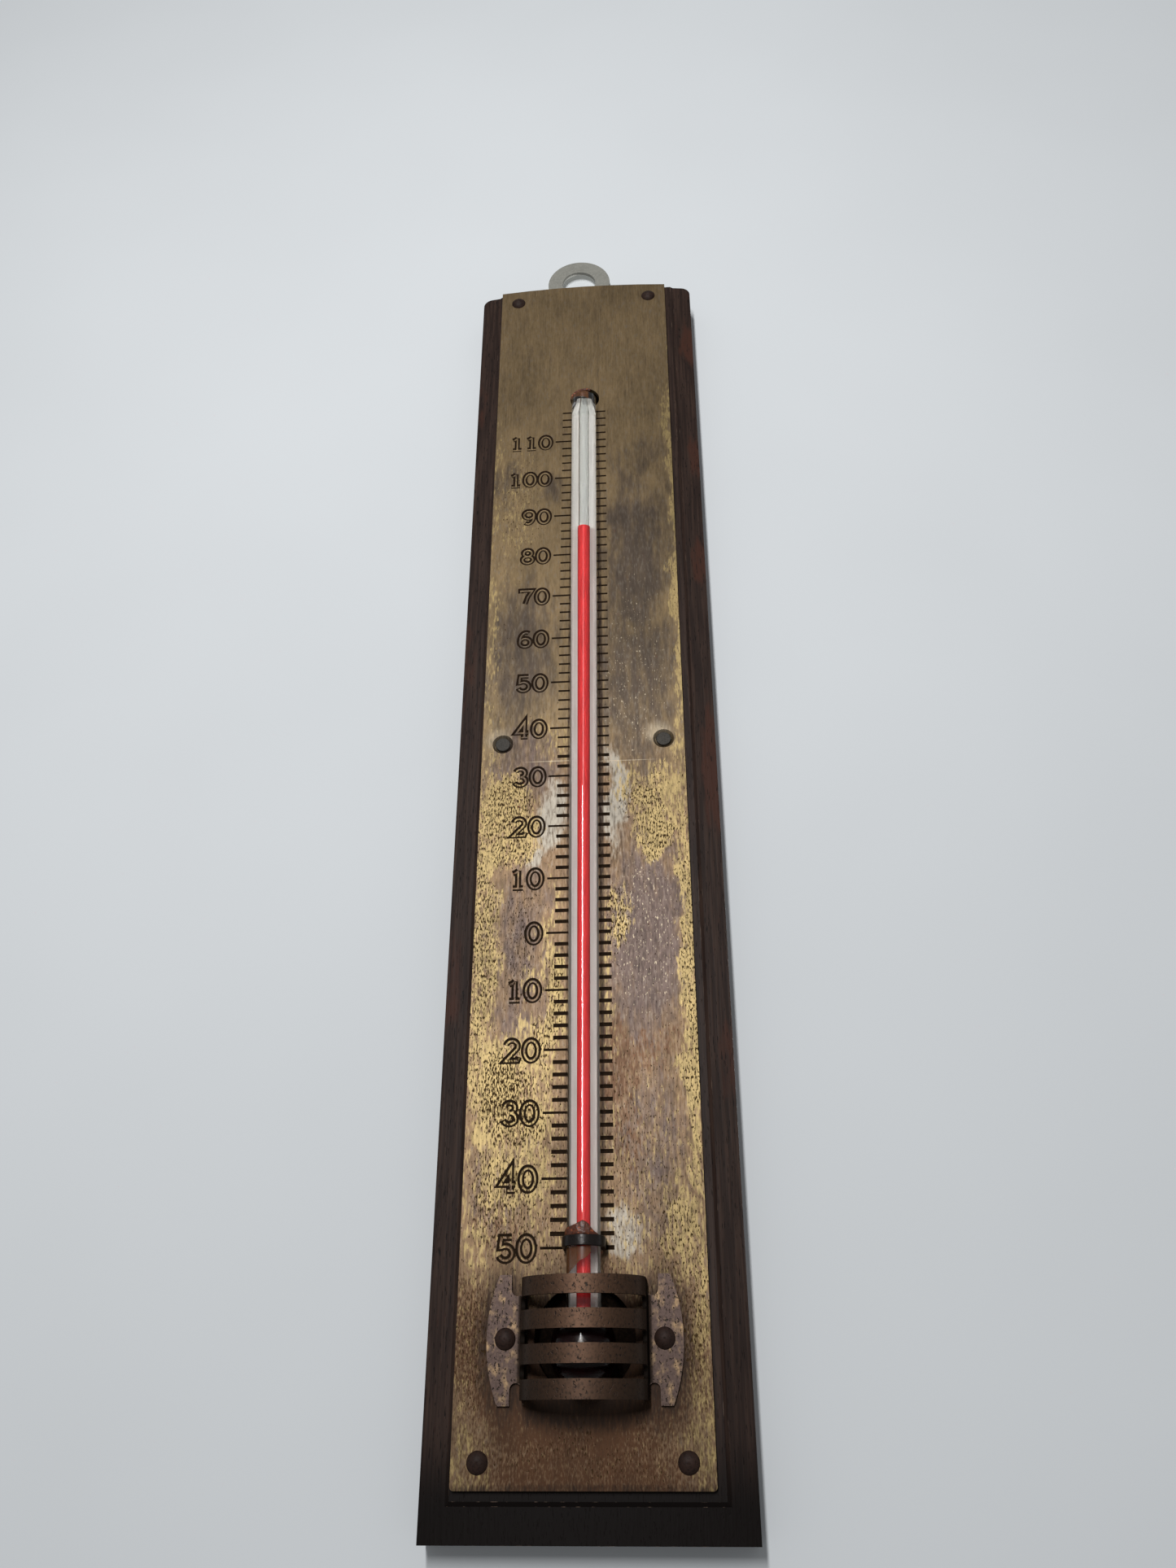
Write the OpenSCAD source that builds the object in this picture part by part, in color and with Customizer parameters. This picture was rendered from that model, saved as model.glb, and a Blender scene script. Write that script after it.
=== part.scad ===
// Wall thermometer: a red spirit tube on a brass scale plate, pinned to a wooden board with a hanging ring.
// Each piece is drawn on its back, x across, y up the scale and z out from the wall, and is then hung up.
// Hung up, +Z is up, the front faces -Y, and the origin is in the middle of the board's back face.

/* [Board] */
// Width of the wooden board
board_w = 65; // [62:0.5:80]
// Thickness of the board under the scale plate
board_t = 10; // [9:0.5:14]
// How far the board reaches below the scale plate
bottom_margin = 9; // [7:0.5:20]
// Width of the raised panel that carries the plate
panel_w = 53; // [52.5:0.5:58]
// Width of the sloped border below the panel
bottom_border = 6.4; // [4:0.2:6.8]
// Width of the small shoulder round the panel
shoulder_w = 0.8; // [0.4:0.1:1.2]
// How far the shoulder drops from the panel
shoulder_drop = 0.5; // [0.2:0.1:1.5]
// How far the border slopes down to the board's edge
border_drop = 0.6; // [0.2:0.1:2]
// Rounding of the board's two upper corners
board_corner_r = 2.5; // [0.5:0.5:6]

/* [Scale plate] */
// Width of the brass plate
plate_w = 51; // [48:0.5:52]
// Length of the brass plate at its edges
plate_l = 328; // [310:1:345]
// Thickness of the brass plate
plate_t = 1.2; // [1:0.1:2]
// How far right of the board's middle the plate is pinned
plate_shift = -0.8; // [-1:0.1:1]
// How far the plate's top edge rises in its middle
crown_rise = 1.2; // [0.4:0.1:3]
// Rounding of the plate's corners
plate_corner_r = 0.8; // [0.2:0.1:3]

/* [Scale] */
// Height of the zero mark above the plate's lower edge
zero_up = 112.5; // [110:0.1:115]
// Length of one degree on the scale
degree_l = 1.382; // [1.37:0.001:1.385]
// Temperature that the spirit shows
reading = 84; // [-40:1:115]

/* [Tube] */
// How far right of the plate's middle the tube and its guard lie
tube_shift = 0.5; // [-1:0.1:1]
// Outer diameter of the glass stem
stem_d = 7; // [6.4:0.1:7]
// Diameter of the bore that the spirit rises in
bore_d = 1.9; // [1:0.05:2.2]
// Height at which the stem bends back into the board
stem_top_up = 277; // [276.5:0.1:280]
// Radius of the stem's bend, on its centreline
bend_r = 3.8; // [3.6:0.1:5]
// Width of the white enamel strip behind the bore
enamel_w = 3; // [2:0.1:3.6]
// Thickness of the enamel strip
enamel_t = 0.5; // [0.3:0.1:0.6]
// Outer diameter of the bulb
bulb_d = 12.8; // [11:0.1:13]
// Length of the bulb below the stem
bulb_l = 13.9; // [13:0.1:14.4]
// Thickness of the bulb's glass
bulb_wall = 0.7; // [0.5:0.1:1]

/* [Strap] */
// Width of the strap along the tube
strap_w = 2.1; // [1.5:0.1:3]
// Thickness of the strap
strap_t = 0.9; // [0.4:0.1:1]
// Height of the strap's middle above the plate's lower edge
strap_up = 44; // [42:0.1:46]

/* [Bulb guard] */
// Width of the guard's arch
guard_w = 25; // [24:0.1:25.4]
// Height of the guard's crown above the plate
guard_h = 11.6; // [11.4:0.1:13]
// Length of the arch along the tube
guard_l = 22; // [20:0.5:23]
// Height of the guard's middle above the plate's lower edge
guard_up = 26.3; // [26:0.1:27]
// Thickness of the guard's sheet
guard_t = 0.8; // [0.6:0.1:0.9]
// Radius of the arch's two shoulders
shoulder_r = 6.5; // [5.5:0.1:7]
// Radius of the arch's crown
crown_r = 16; // [15:0.5:20]
// Number of slots across the arch
slots = 3; // [2:1:4]
// Height of each slot
slot_w = 2.6; // [2:0.1:2.8]
// How far above the plate the slots end in the side walls
slot_foot = 3.4; // [2.5:0.1:4.5]
// Width of the guard across both ears
ear_span = 39.3; // [38:0.1:40]
// Length of each ear from tip to tip
ear_l = 23.9; // [23:0.1:25]
// Length of the neck that joins an ear to the arch
neck_l = 15.8; // [12:0.1:17]
// Radius of the ear's long outer edge
ear_arc_r = 31.3; // [29:0.1:40]

/* [Pins and nails] */
// Diameter of the pins' round heads
pin_head_d = 4.3; // [3:0.1:4.4]
// Height of the pins' round heads
pin_head_h = 1.1; // [0.6:0.1:1.6]
// Diameter of a pin's shank
pin_d = 1.5; // [1:0.1:1.8]
// Diameter of the steel nails' flat heads
nail_head_d = 3.9; // [3:0.1:4.2]
// Distance of the pins from the plate's side edges
pin_inset = 5.2; // [4:0.1:7]

/* [Hanger] */
// Outer diameter of the hanging ring
ring_d = 20; // [18:0.5:22]
// Diameter of the hole in the ring
ring_hole_d = 10.5; // [8:0.5:12]
// Thickness of the hanger's sheet
hanger_t = 1.2; // [0.8:0.1:1.4]
// Width of the tab below the ring
tab_w = 10; // [9:0.5:12]
// Distance from the screw to the ring's centre
hanger_arm = 25; // [24:0.5:28]
// Distance of the screw below the board's top edge
pivot_down = 12; // [10:0.5:13]
// How far the ring leans to the left as it lies
hanger_lean = 6.5; // [-18:0.5:18]
// How far the ring can lean to either side
hanger_swing = 18; // [10:1:20]

/* [Hidden] */
$fn = 96;

// Room left round a shank, a leg or an end in the hole made for it
fit_gap = 0.05;
// Extra depth of a cut so that it breaks through a face
through = 1;

// The board, and the plate pinned flush with its top edge
board_l = plate_l + bottom_margin;
board_top = board_l / 2;
plate_foot = board_top - plate_l;
plate_front = board_t + plate_t;
crown_arc_r = (pow(plate_w / 2, 2) + pow(crown_rise, 2)) / (2 * crown_rise);

// The tube lies on the plate, and its bulb is as wide as the stem where the two are fused
stem_r = stem_d / 2;
bore_r = bore_d / 2;
stem_lift = 0.1;
stem_z = plate_front + stem_lift + stem_r;
stem_end_z = 4.5;
end_hole_r = stem_r + 0.75;
end_hole_up = stem_top_up + bend_r;
end_hole_floor = 3.5;
bulb_r = bulb_d / 2;
neck_up = 30.4;
bulb_top_up = neck_up - sqrt(pow(bulb_r, 2) - pow(stem_r, 2));
bulb_bottom_up = neck_up - bulb_l + bulb_r;
bulb_hole_r = 10.2;
bulb_pocket_depth = 3;
enamel_gap = 0.3;
enamel_foot_up = neck_up + 1;
bore_top_up = stem_top_up - 0.4;
column_clearance = 0.025;
level_up = zero_up + reading * degree_l;

// The strap's two legs go through the plate and into the wood
strap_in_r = stem_r + 0.05;
strap_leg = stem_r + stem_lift + plate_t + 4;

// The guard's arch has three centres: two shoulders, and a crown that each shoulder stands a hair proud of
guard_half = guard_w / 2;
shoulder_proud = 0.03;
shoulder_x = guard_half - shoulder_r;
crown_z = guard_h - crown_r;
shoulder_z = crown_z + sqrt(pow(crown_r - shoulder_r + shoulder_proud, 2) - pow(shoulder_x, 2));
slot_pitch = (guard_l + slot_w) / (slots + 1);
notch_r = 1.15;
ear_tip_x = 15;
ear_pin_x = 15.9;
guard_bend_r = 1;

// Pins, nails and the dished dents that the nails sit in
pin_x = plate_w / 2 - pin_inset;
pin_bottom_up = 4.7;
pin_top_up = plate_l - 4.7;
nail_up = plate_l / 2 - 0.4;
pin_dome_r = (pow(pin_head_d / 2, 2) + pow(pin_head_h, 2)) / (2 * pin_head_h);
pin_l = 8;
point_l = 2;
nail_head_t = 0.6;
dish_depth = 0.6;
dish_r = nail_head_d / 2 + 0.7;

// The hanger lies in a pocket in the board's back, behind the head of the screw that it turns on
screw_head_d = 7;
screw_head_h = 1.4;
screw_d = 4;
screw_core_d = 3.2;
screw_tip_z = 8.6;
screw_back = 0.2;
hanger_back = screw_back + screw_head_h + 0.1;
pocket_floor = hanger_back + hanger_t + 0.2;
pocket_gap = 0.4;
pivot_y = board_top - pivot_down;

plate_pin_places = [
    [-pin_x, pin_bottom_up], [pin_x, pin_bottom_up],
    [-pin_x, pin_top_up], [pin_x, pin_top_up]
];

// Stands a piece that is drawn on its back up against the wall
module hang_up() {
    rotate([90, 0, 0]) children();
}

// Puts a piece on the plate: up from its lower edge, out from its front face
module on_plate(across, up, out = 0) {
    translate([plate_shift + across, plate_foot + up, plate_front + out]) children();
}

// Puts a piece on the tube's line: up from the plate's lower edge, out from the plate's front face
module on_tube(up, out = 0) {
    on_plate(tube_shift, up, out) children();
}

// Turns a piece that is drawn along z to lie along the tube
module along_tube() {
    rotate([-90, 0, 0]) children();
}

// Extrudes a section drawn across the plate, x sideways and y outwards, along the tube about its middle
module across_section(length) {
    rotate([90, 0, 0]) linear_extrude(length, center = true) children();
}

// Rounded rectangle standing on the x axis, with its two upper corners rounded
module top_rounded(width, height, radius) {
    translate([-width / 2, 0]) square([width, height - radius]);
    translate([-width / 2 + radius, 0]) square([width - 2 * radius, height]);
    for (side = [-1, 1])
        translate([side * (width / 2 - radius), height - radius]) circle(radius);
}

// Rounded rectangle standing on the x axis, with all four corners rounded
module all_rounded(width, height, radius) {
    intersection() {
        top_rounded(width, height, radius);
        translate([0, height]) mirror([0, 1]) top_rounded(width, height, radius);
    }
}

// Section of the board across its width: raised panel, shoulders and sloped side borders
module board_cross_section() {
    half = board_w / 2;
    shoulder = panel_w / 2 + shoulder_w;
    border_z = board_t - shoulder_drop;
    polygon([
        [-half, 0], [half, 0], [half, border_z - border_drop], [shoulder, border_z], [panel_w / 2, board_t],
        [-panel_w / 2, board_t], [-shoulder, border_z], [-half, border_z - border_drop]
    ]);
}

// Section of the board along its length: the same border at the bottom, cut off square at the top
module board_long_section() {
    border_z = board_t - shoulder_drop;
    polygon([
        [0, 0], [board_l, 0], [board_l, board_t], [bottom_border + shoulder_w, board_t],
        [bottom_border, border_z], [0, border_z - border_drop]
    ]);
}

// The board before it is drilled: the two sections meet in mitres at the lower corners
module board_blank() {
    intersection() {
        across_section(board_l) board_cross_section();
        translate([-board_w / 2, -board_top, 0])
            rotate([90, 0, 90]) linear_extrude(board_w) board_long_section();
        translate([0, -board_top, 0])
            linear_extrude(board_t) top_rounded(board_w, board_l, board_corner_r);
    }
}

// Area that the hanger's tab sweeps, as a pocket that opens at the board's top edge
module hanger_pocket_area() {
    reach = tab_w / 2 + pocket_gap;
    side = tab_w / 2 + pocket_gap / 2;
    run = pivot_down + board_corner_r + tab_w;
    foot = [side * cos(hanger_swing), -side * sin(hanger_swing)];
    head = [foot.x + run * sin(hanger_swing), foot.y + run * cos(hanger_swing)];
    circle(reach);
    polygon([[-foot.x, foot.y], foot, head, [-head.x, head.y]]);
}

// Holes for the pins and nails, through the plate and into the wood
module pin_holes() {
    depth = pin_l + point_l;
    places = [
        each plate_pin_places,
        for (side = [-1, 1]) each [[side * pin_x, nail_up], [tube_shift + side * ear_pin_x, guard_up]]
    ];
    for (place = places)
        on_plate(place.x, place.y, -depth) cylinder(d = pin_d + 2 * fit_gap, h = depth + through);
}

// Pin or nail shank with a cone point, hanging down from z = 0
module shank() {
    translate([0, 0, -pin_l + point_l]) cylinder(d = pin_d, h = pin_l - point_l);
    translate([0, 0, -pin_l]) cylinder(d1 = 0.2, d2 = pin_d, h = point_l);
}

// Pin with a low domed head
module round_pin() {
    shank();
    intersection() {
        translate([0, 0, pin_head_h - pin_dome_r]) sphere(pin_dome_r);
        cylinder(d = pin_head_d, h = pin_head_h);
    }
}

// Nail with a flat head that is a little narrower at its rim
module flat_nail() {
    shank();
    cylinder(d = nail_head_d, h = nail_head_t / 2);
    translate([0, 0, nail_head_t / 2])
        cylinder(d1 = nail_head_d, d2 = nail_head_d - nail_head_t / 2, h = nail_head_t / 2);
}

// Strap over the tube, with gap added all round for the slots that its legs go through
module strap_body(gap) {
    outer = strap_in_r + strap_t + gap;
    inner = strap_in_r - gap;
    on_tube(strap_up, stem_lift + stem_r) across_section(strap_w + 2 * gap) {
        difference() {
            union() {
                circle(outer);
                translate([-outer, -strap_leg - gap]) square([2 * outer, strap_leg + gap]);
            }
            circle(inner);
            translate([-inner, -strap_leg - through]) square([2 * inner, strap_leg + through]);
        }
    }
}

// Round-ended bulb along z: two half balls joined by a short cylinder, with its neck cut flat
module bulb_shape(radius) {
    rotate_extrude() intersection() {
        union() {
            translate([0, bulb_bottom_up]) circle(radius);
            translate([0, bulb_top_up]) circle(radius);
            translate([-radius, bulb_bottom_up]) square([2 * radius, bulb_top_up - bulb_bottom_up]);
        }
        square([radius, neck_up]);
    }
}

// Area under the guard's arch, drawn in by the given inset
module arch_area(inset) {
    wedge = 3;
    intersection() {
        translate([-guard_w, 0]) square([2 * guard_w, 2 * guard_h]);
        union() {
            translate([inset - guard_half, 0]) square([2 * (guard_half - inset), shoulder_z]);
            for (side = [-1, 1])
                translate([side * shoulder_x, shoulder_z]) circle(shoulder_r - inset);
            intersection() {
                translate([0, crown_z]) circle(crown_r - inset);
                polygon([
                    [0, crown_z],
                    [wedge * shoulder_x, crown_z + wedge * (shoulder_z - crown_z)],
                    [-wedge * shoulder_x, crown_z + wedge * (shoulder_z - crown_z)]
                ]);
            }
        }
    }
}

// Slot across the arch, with a round end in each side wall
module guard_slot() {
    span = guard_w + 2 * through;
    translate([-span / 2, 0, slot_foot + slot_w / 2]) {
        rotate([0, 90, 0]) cylinder(d = slot_w, h = span);
        translate([0, -slot_w / 2, 0]) cube([span, slot_w, guard_h]);
    }
}

// Outline of the right ear: a long outer arc, blunt tips, and notches that leave the neck
module ear_outline() {
    notch_foot = neck_l / 2 + notch_r;
    difference() {
        intersection() {
            translate([ear_span / 2 - ear_arc_r, 0]) circle(ear_arc_r);
            translate([guard_half - guard_t, -ear_l / 2]) square([ear_span / 2, ear_l]);
        }
        for (end = [0, 1]) mirror([0, end]) {
            translate([guard_half + notch_r, notch_foot]) circle(notch_r);
            polygon([
                [guard_half - through, notch_foot], [guard_half + 2 * notch_r, notch_foot],
                [ear_tip_x, ear_l], [guard_half - through, ear_l]
            ]);
        }
        translate([ear_pin_x, 0]) circle(d = pin_d + 2 * fit_gap);
    }
}

// Right ear with the rounded bend that carries it up into the arch's wall
module guard_ear() {
    linear_extrude(guard_t) ear_outline();
    across_section(neck_l) translate([guard_half, guard_t]) difference() {
        translate([-guard_t / 2, -guard_t / 2]) square(guard_bend_r + guard_t / 2);
        translate([guard_bend_r, guard_bend_r]) circle(guard_bend_r);
    }
}

module backboard() {
    color("#2b1a14") hang_up() difference() {
        board_blank();
        pin_holes();
        strap_body(fit_gap);
        on_tube(guard_up, -plate_t - bulb_pocket_depth)
            cylinder(r = bulb_hole_r, h = bulb_pocket_depth + through);
        on_tube(end_hole_up, end_hole_floor - plate_front) cylinder(r = end_hole_r, h = board_t);
        translate([0, pivot_y, -through]) linear_extrude(pocket_floor + through) hanger_pocket_area();
        translate([0, pivot_y, 0]) cylinder(d = screw_core_d + 2 * fit_gap, h = screw_tip_z + fit_gap);
    }
}

module scale_plate() {
    color("#8f7a45") hang_up() difference() {
        on_plate(0, 0, -plate_t) linear_extrude(plate_t) intersection() {
            all_rounded(plate_w, plate_l + crown_rise, plate_corner_r);
            translate([0, plate_l + crown_rise - crown_arc_r]) circle(crown_arc_r, $fn = 720);
        }
        pin_holes();
        strap_body(fit_gap);
        on_tube(guard_up, -plate_t - through) cylinder(r = bulb_hole_r, h = plate_t + 2 * through);
        on_tube(end_hole_up, -plate_t - through) cylinder(r = end_hole_r, h = plate_t + 2 * through);
        for (side = [-1, 1])
            on_plate(side * pin_x, nail_up, -dish_depth)
                cylinder(r1 = nail_head_d / 2 + fit_gap, r2 = dish_r, h = dish_depth);
    }
}

module glass_stem() {
    color("#dfe6e6", 0.5) hang_up() difference() {
        union() {
            on_tube(neck_up, stem_lift + stem_r)
                along_tube() cylinder(r = stem_r, h = stem_top_up - neck_up);
            on_tube(stem_top_up, stem_lift + stem_r - bend_r)
                rotate([0, -90, 0]) rotate_extrude(angle = 90) translate([bend_r, 0]) circle(stem_r);
            on_tube(end_hole_up, stem_end_z - plate_front)
                cylinder(r = stem_r, h = stem_z - bend_r - stem_end_z);
        }
        on_tube(neck_up - through, stem_lift + stem_r)
            along_tube() cylinder(r = bore_r, h = bore_top_up - neck_up + through);
        enamel_body();
    }
}

// The white strip's shape, which the glass is fused round, flat behind the bore
module enamel_body() {
    on_tube(enamel_foot_up, stem_lift + stem_r - bore_r - enamel_gap - enamel_t)
        translate([-enamel_w / 2, 0, 0]) cube([enamel_w, stem_top_up - enamel_foot_up, enamel_t]);
}

module glass_bulb() {
    color("#c9d2d2", 0.5) hang_up() on_tube(0, stem_lift + stem_r) along_tube() difference() {
        bulb_shape(bulb_r);
        bulb_shape(bulb_r - bulb_wall);
    }
}

module enamel_strip() {
    color("#eceae4") hang_up() enamel_body();
}

module spirit_column() {
    color("#d0202a") hang_up() on_tube(neck_up + fit_gap, stem_lift + stem_r)
        along_tube() cylinder(r = bore_r - column_clearance, h = level_up - neck_up - fit_gap);
}

module bulb_spirit() {
    color("#8a1018") hang_up() on_tube(0, stem_lift + stem_r)
        along_tube() bulb_shape(bulb_r - bulb_wall - fit_gap);
}

module tube_strap() {
    color("#3a332b") hang_up() strap_body(0);
}

module bulb_guard() {
    color("#6b4a2e") hang_up() on_tube(guard_up) {
        difference() {
            across_section(guard_l) difference() {
                arch_area(0);
                arch_area(guard_t);
            }
            for (i = [0 : slots - 1])
                translate([0, (i - (slots - 1) / 2) * slot_pitch, 0]) guard_slot();
        }
        guard_ear();
        mirror([1, 0]) guard_ear();
    }
}

module guard_pins() {
    color("#6e3626") hang_up() for (side = [-1, 1])
        on_plate(tube_shift + side * ear_pin_x, guard_up, guard_t) round_pin();
}

module plate_pins() {
    color("#6e3626") hang_up() for (place = plate_pin_places)
        on_plate(place.x, place.y) round_pin();
}

module middle_nails() {
    color("#55534e") hang_up() for (side = [-1, 1])
        on_plate(side * pin_x, nail_up, -dish_depth) flat_nail();
}

// Part of a ring of cement between the tube's bent end and the edge of its hole
module tip_cement() {
    depth = 0.8;
    proud = 0.3;
    right_end = 65;
    left_end = 180;
    color("#6b3d2a") hang_up() on_tube(end_hole_up, -depth) rotate([0, 0, right_end])
        rotate_extrude(angle = left_end - right_end) translate([stem_r + fit_gap, 0])
            square([end_hole_r - stem_r - 2 * fit_gap, depth + proud]);
}

// Cement that has run up the tube's left side and front from the strap, thinning towards its upper edge
module strap_cement() {
    height = 2.6;
    thickness = 0.55;
    left_side = 180;
    spread = 130;
    color("#5c3b28") hang_up() on_tube(strap_up + strap_w / 2, stem_lift + stem_r) along_tube()
        rotate([0, 0, left_side]) rotate_extrude(angle = spread) translate([stem_r, 0])
            polygon([[0, 0], [thickness, 0], [thickness, height / 3], [thickness / 4, height], [0, height]]);
}

module hanger_ring() {
    color("#8d8f8c") hang_up() translate([0, pivot_y, hanger_back]) rotate([0, 0, hanger_lean])
        linear_extrude(hanger_t) difference() {
            union() {
                circle(d = tab_w);
                translate([-tab_w / 2, 0]) square([tab_w, hanger_arm]);
                translate([0, hanger_arm]) circle(d = ring_d);
            }
            translate([0, hanger_arm]) circle(d = ring_hole_d);
            circle(d = screw_d + 4 * fit_gap);
        }
}

// Round-headed screw driven in from the back, with a straight slot in its head
module hanger_screw() {
    slot_depth = 0.6;
    color("#77756f") hang_up() translate([0, pivot_y, screw_back]) difference() {
        union() {
            cylinder(d1 = screw_head_d - screw_head_h, d2 = screw_head_d, h = screw_head_h / 2);
            translate([0, 0, screw_head_h / 2]) cylinder(d = screw_head_d, h = screw_head_h / 2);
            translate([0, 0, screw_head_h])
                cylinder(d = screw_d, h = pocket_floor - screw_back - screw_head_h);
            translate([0, 0, pocket_floor - screw_back])
                cylinder(d = screw_core_d, h = screw_tip_z - point_l - pocket_floor);
            translate([0, 0, screw_tip_z - point_l - screw_back])
                cylinder(d1 = screw_core_d, d2 = 0.4, h = point_l);
        }
        translate([-screw_head_d, -slot_depth, -through])
            cube([2 * screw_head_d, 2 * slot_depth, slot_depth + through]);
    }
}

backboard();
scale_plate();
glass_stem();
glass_bulb();
enamel_strip();
spirit_column();
bulb_spirit();
tube_strap();
bulb_guard();
guard_pins();
plate_pins();
middle_nails();
tip_cement();
strap_cement();
hanger_ring();
hanger_screw();
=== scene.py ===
"""Looks of a wall thermometer in aged brass, dark oak, clear glass and red spirit, fitted over its frame."""

import math

import bpy
from bpy.props import FloatProperty, FloatVectorProperty, IntProperty, PointerProperty
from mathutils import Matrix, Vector


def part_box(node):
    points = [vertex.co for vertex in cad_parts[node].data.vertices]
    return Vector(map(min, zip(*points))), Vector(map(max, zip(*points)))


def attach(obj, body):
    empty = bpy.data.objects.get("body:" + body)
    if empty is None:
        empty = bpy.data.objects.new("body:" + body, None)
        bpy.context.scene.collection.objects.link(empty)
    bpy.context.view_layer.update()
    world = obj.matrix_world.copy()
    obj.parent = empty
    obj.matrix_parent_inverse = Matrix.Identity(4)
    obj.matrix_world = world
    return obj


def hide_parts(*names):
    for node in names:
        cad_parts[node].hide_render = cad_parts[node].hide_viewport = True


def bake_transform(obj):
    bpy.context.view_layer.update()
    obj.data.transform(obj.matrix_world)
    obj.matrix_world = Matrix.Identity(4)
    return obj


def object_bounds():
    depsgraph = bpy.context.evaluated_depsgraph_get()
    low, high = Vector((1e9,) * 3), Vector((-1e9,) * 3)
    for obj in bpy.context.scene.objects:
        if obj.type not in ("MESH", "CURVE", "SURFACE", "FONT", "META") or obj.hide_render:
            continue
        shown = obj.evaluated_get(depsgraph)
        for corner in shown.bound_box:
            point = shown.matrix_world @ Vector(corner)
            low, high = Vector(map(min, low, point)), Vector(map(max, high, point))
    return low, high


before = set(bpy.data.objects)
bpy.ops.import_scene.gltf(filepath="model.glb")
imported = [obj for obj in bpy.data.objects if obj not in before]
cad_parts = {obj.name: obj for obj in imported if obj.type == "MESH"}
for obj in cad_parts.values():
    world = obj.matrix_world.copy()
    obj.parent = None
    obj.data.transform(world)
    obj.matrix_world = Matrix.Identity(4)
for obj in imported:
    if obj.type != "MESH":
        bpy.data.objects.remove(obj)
CAD_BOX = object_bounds()

bl_info = {
    "name": "Wall Thermometer",
    "version": (1, 0, 0),
    "blender": (4, 5, 0),
    "location": "View3D > Sidebar > Thermometer",
    "description": "Dresses a wall thermometer in brass, oak, glass and spirit, and sets its stage",
    "category": "Object",
}

MM = 0.001
MERGE = 0.0005 * MM  # points nearer than this become one
LEVEL = 0.001 * MM  # points nearer than this to a level lie on it
CUT = 0.0001 * MM  # how exactly a plane cuts a mesh
FEWEST_FACES = 1000  # a stamped plate has more faces than this
PLATE_LOW, PLATE_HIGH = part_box("scale_plate")
STEM_LOW, STEM_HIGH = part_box("glass_stem")
BULB_LOW, BULB_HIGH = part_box("glass_bulb")
SPIRIT_LOW, SPIRIT_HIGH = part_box("spirit_column")
GUARD_LOW, GUARD_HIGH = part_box("bulb_guard")
STRAP_LOW, STRAP_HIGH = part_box("tube_strap")
STEM_X = (STEM_LOW.x + STEM_HIGH.x) / 2
STEM_Y = (SPIRIT_LOW.y + SPIRIT_HIGH.y) / 2
STEM_R = (STEM_HIGH.x - STEM_LOW.x) / 2
BULB_R = (BULB_HIGH.x - BULB_LOW.x) / 2


def srgb(code):
    """Linear colour of an sRGB hex value such as "#c8a45a"."""
    parts = [int(code[i:i + 2], 16) / 255 for i in (1, 3, 5)]
    return tuple(p / 12.92 if p <= 0.04045 else ((p + 0.055) / 1.055) ** 2.4 for p in parts)


def length(name, description, millimetres):
    """A length property, given in millimetres."""
    return FloatProperty(
        name=name, description=description, default=millimetres * MM, precision=5, unit="LENGTH"
    )


def paint(name, description, code):
    """A colour property, given as sRGB hex."""
    return FloatVectorProperty(
        name=name, description=description, default=srgb(code), subtype="COLOR", size=3, min=0, max=1
    )


class BoardSettings(bpy.types.PropertyGroup):
    """Sizes and colours of the wooden board"""
    arris: length("Arris", "Width of the worn rounding along the board's edges", 0.35)
    oak: paint("Oak", "Dark stain in the oak's summer wood", "#281d19")
    grain: paint("Grain", "Paler early wood between the dark lines", "#3c2d26")
    pore: paint("Pore", "Open pores filled with old stain", "#100c0a")
    red: paint("Red wood", "Patches where the stain has worn to red heartwood", "#41281f")
    # Pale speckle on the rounded arrises: partly wear, partly painted glints where the edges catch the light
    worn: paint("Worn arris", "Bare wood where the edges are rubbed", "#6a584c")


class PlateSettings(bpy.types.PropertyGroup):
    """Sizes and colours of the brass scale plate"""
    edge: length("Edge", "Width of the rounding along the plate's edges", 0.18)
    olive: paint("Olive film", "Brown-green film over the upper half", "#766347")
    tan: paint("Tan film", "Thin film over the lower half", "#705a43")
    mauve: paint("Mauve film", "Pink-grey film beside the tube", "#574943")
    slate: paint("Slate film", "Smooth dark stains right of the tube", "#4b4036")
    rust: paint("Rust film", "Orange-brown film low on the right", "#5c4330")
    silver: paint("Silver film", "Film worn to pale metal beside the tube", "#8b8478")
    brown: paint("Brown film", "Brown film under the guard", "#432b19")
    gold: paint("Bare brass", "Brass that handling keeps bright", "#98845a")
    # Brown film and painted shade: darkens the plate under and round the guard and at its foot
    pit: paint("Pits", "Corroded pits", "#432f14")
    fleck: paint("Flecks", "Pale flecks in the smooth films", "#9a8d78")
    # Dirt and painted shade: dark rims round the guard's ears, shade under and below the guard, contact shadow
    # along the tube
    grime: paint("Grime", "Dirt on the plate around the guard", "#22150c")
    stamp: paint("Stamped edge", "Old dirt in the stamped marks", "#281b0e")


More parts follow.
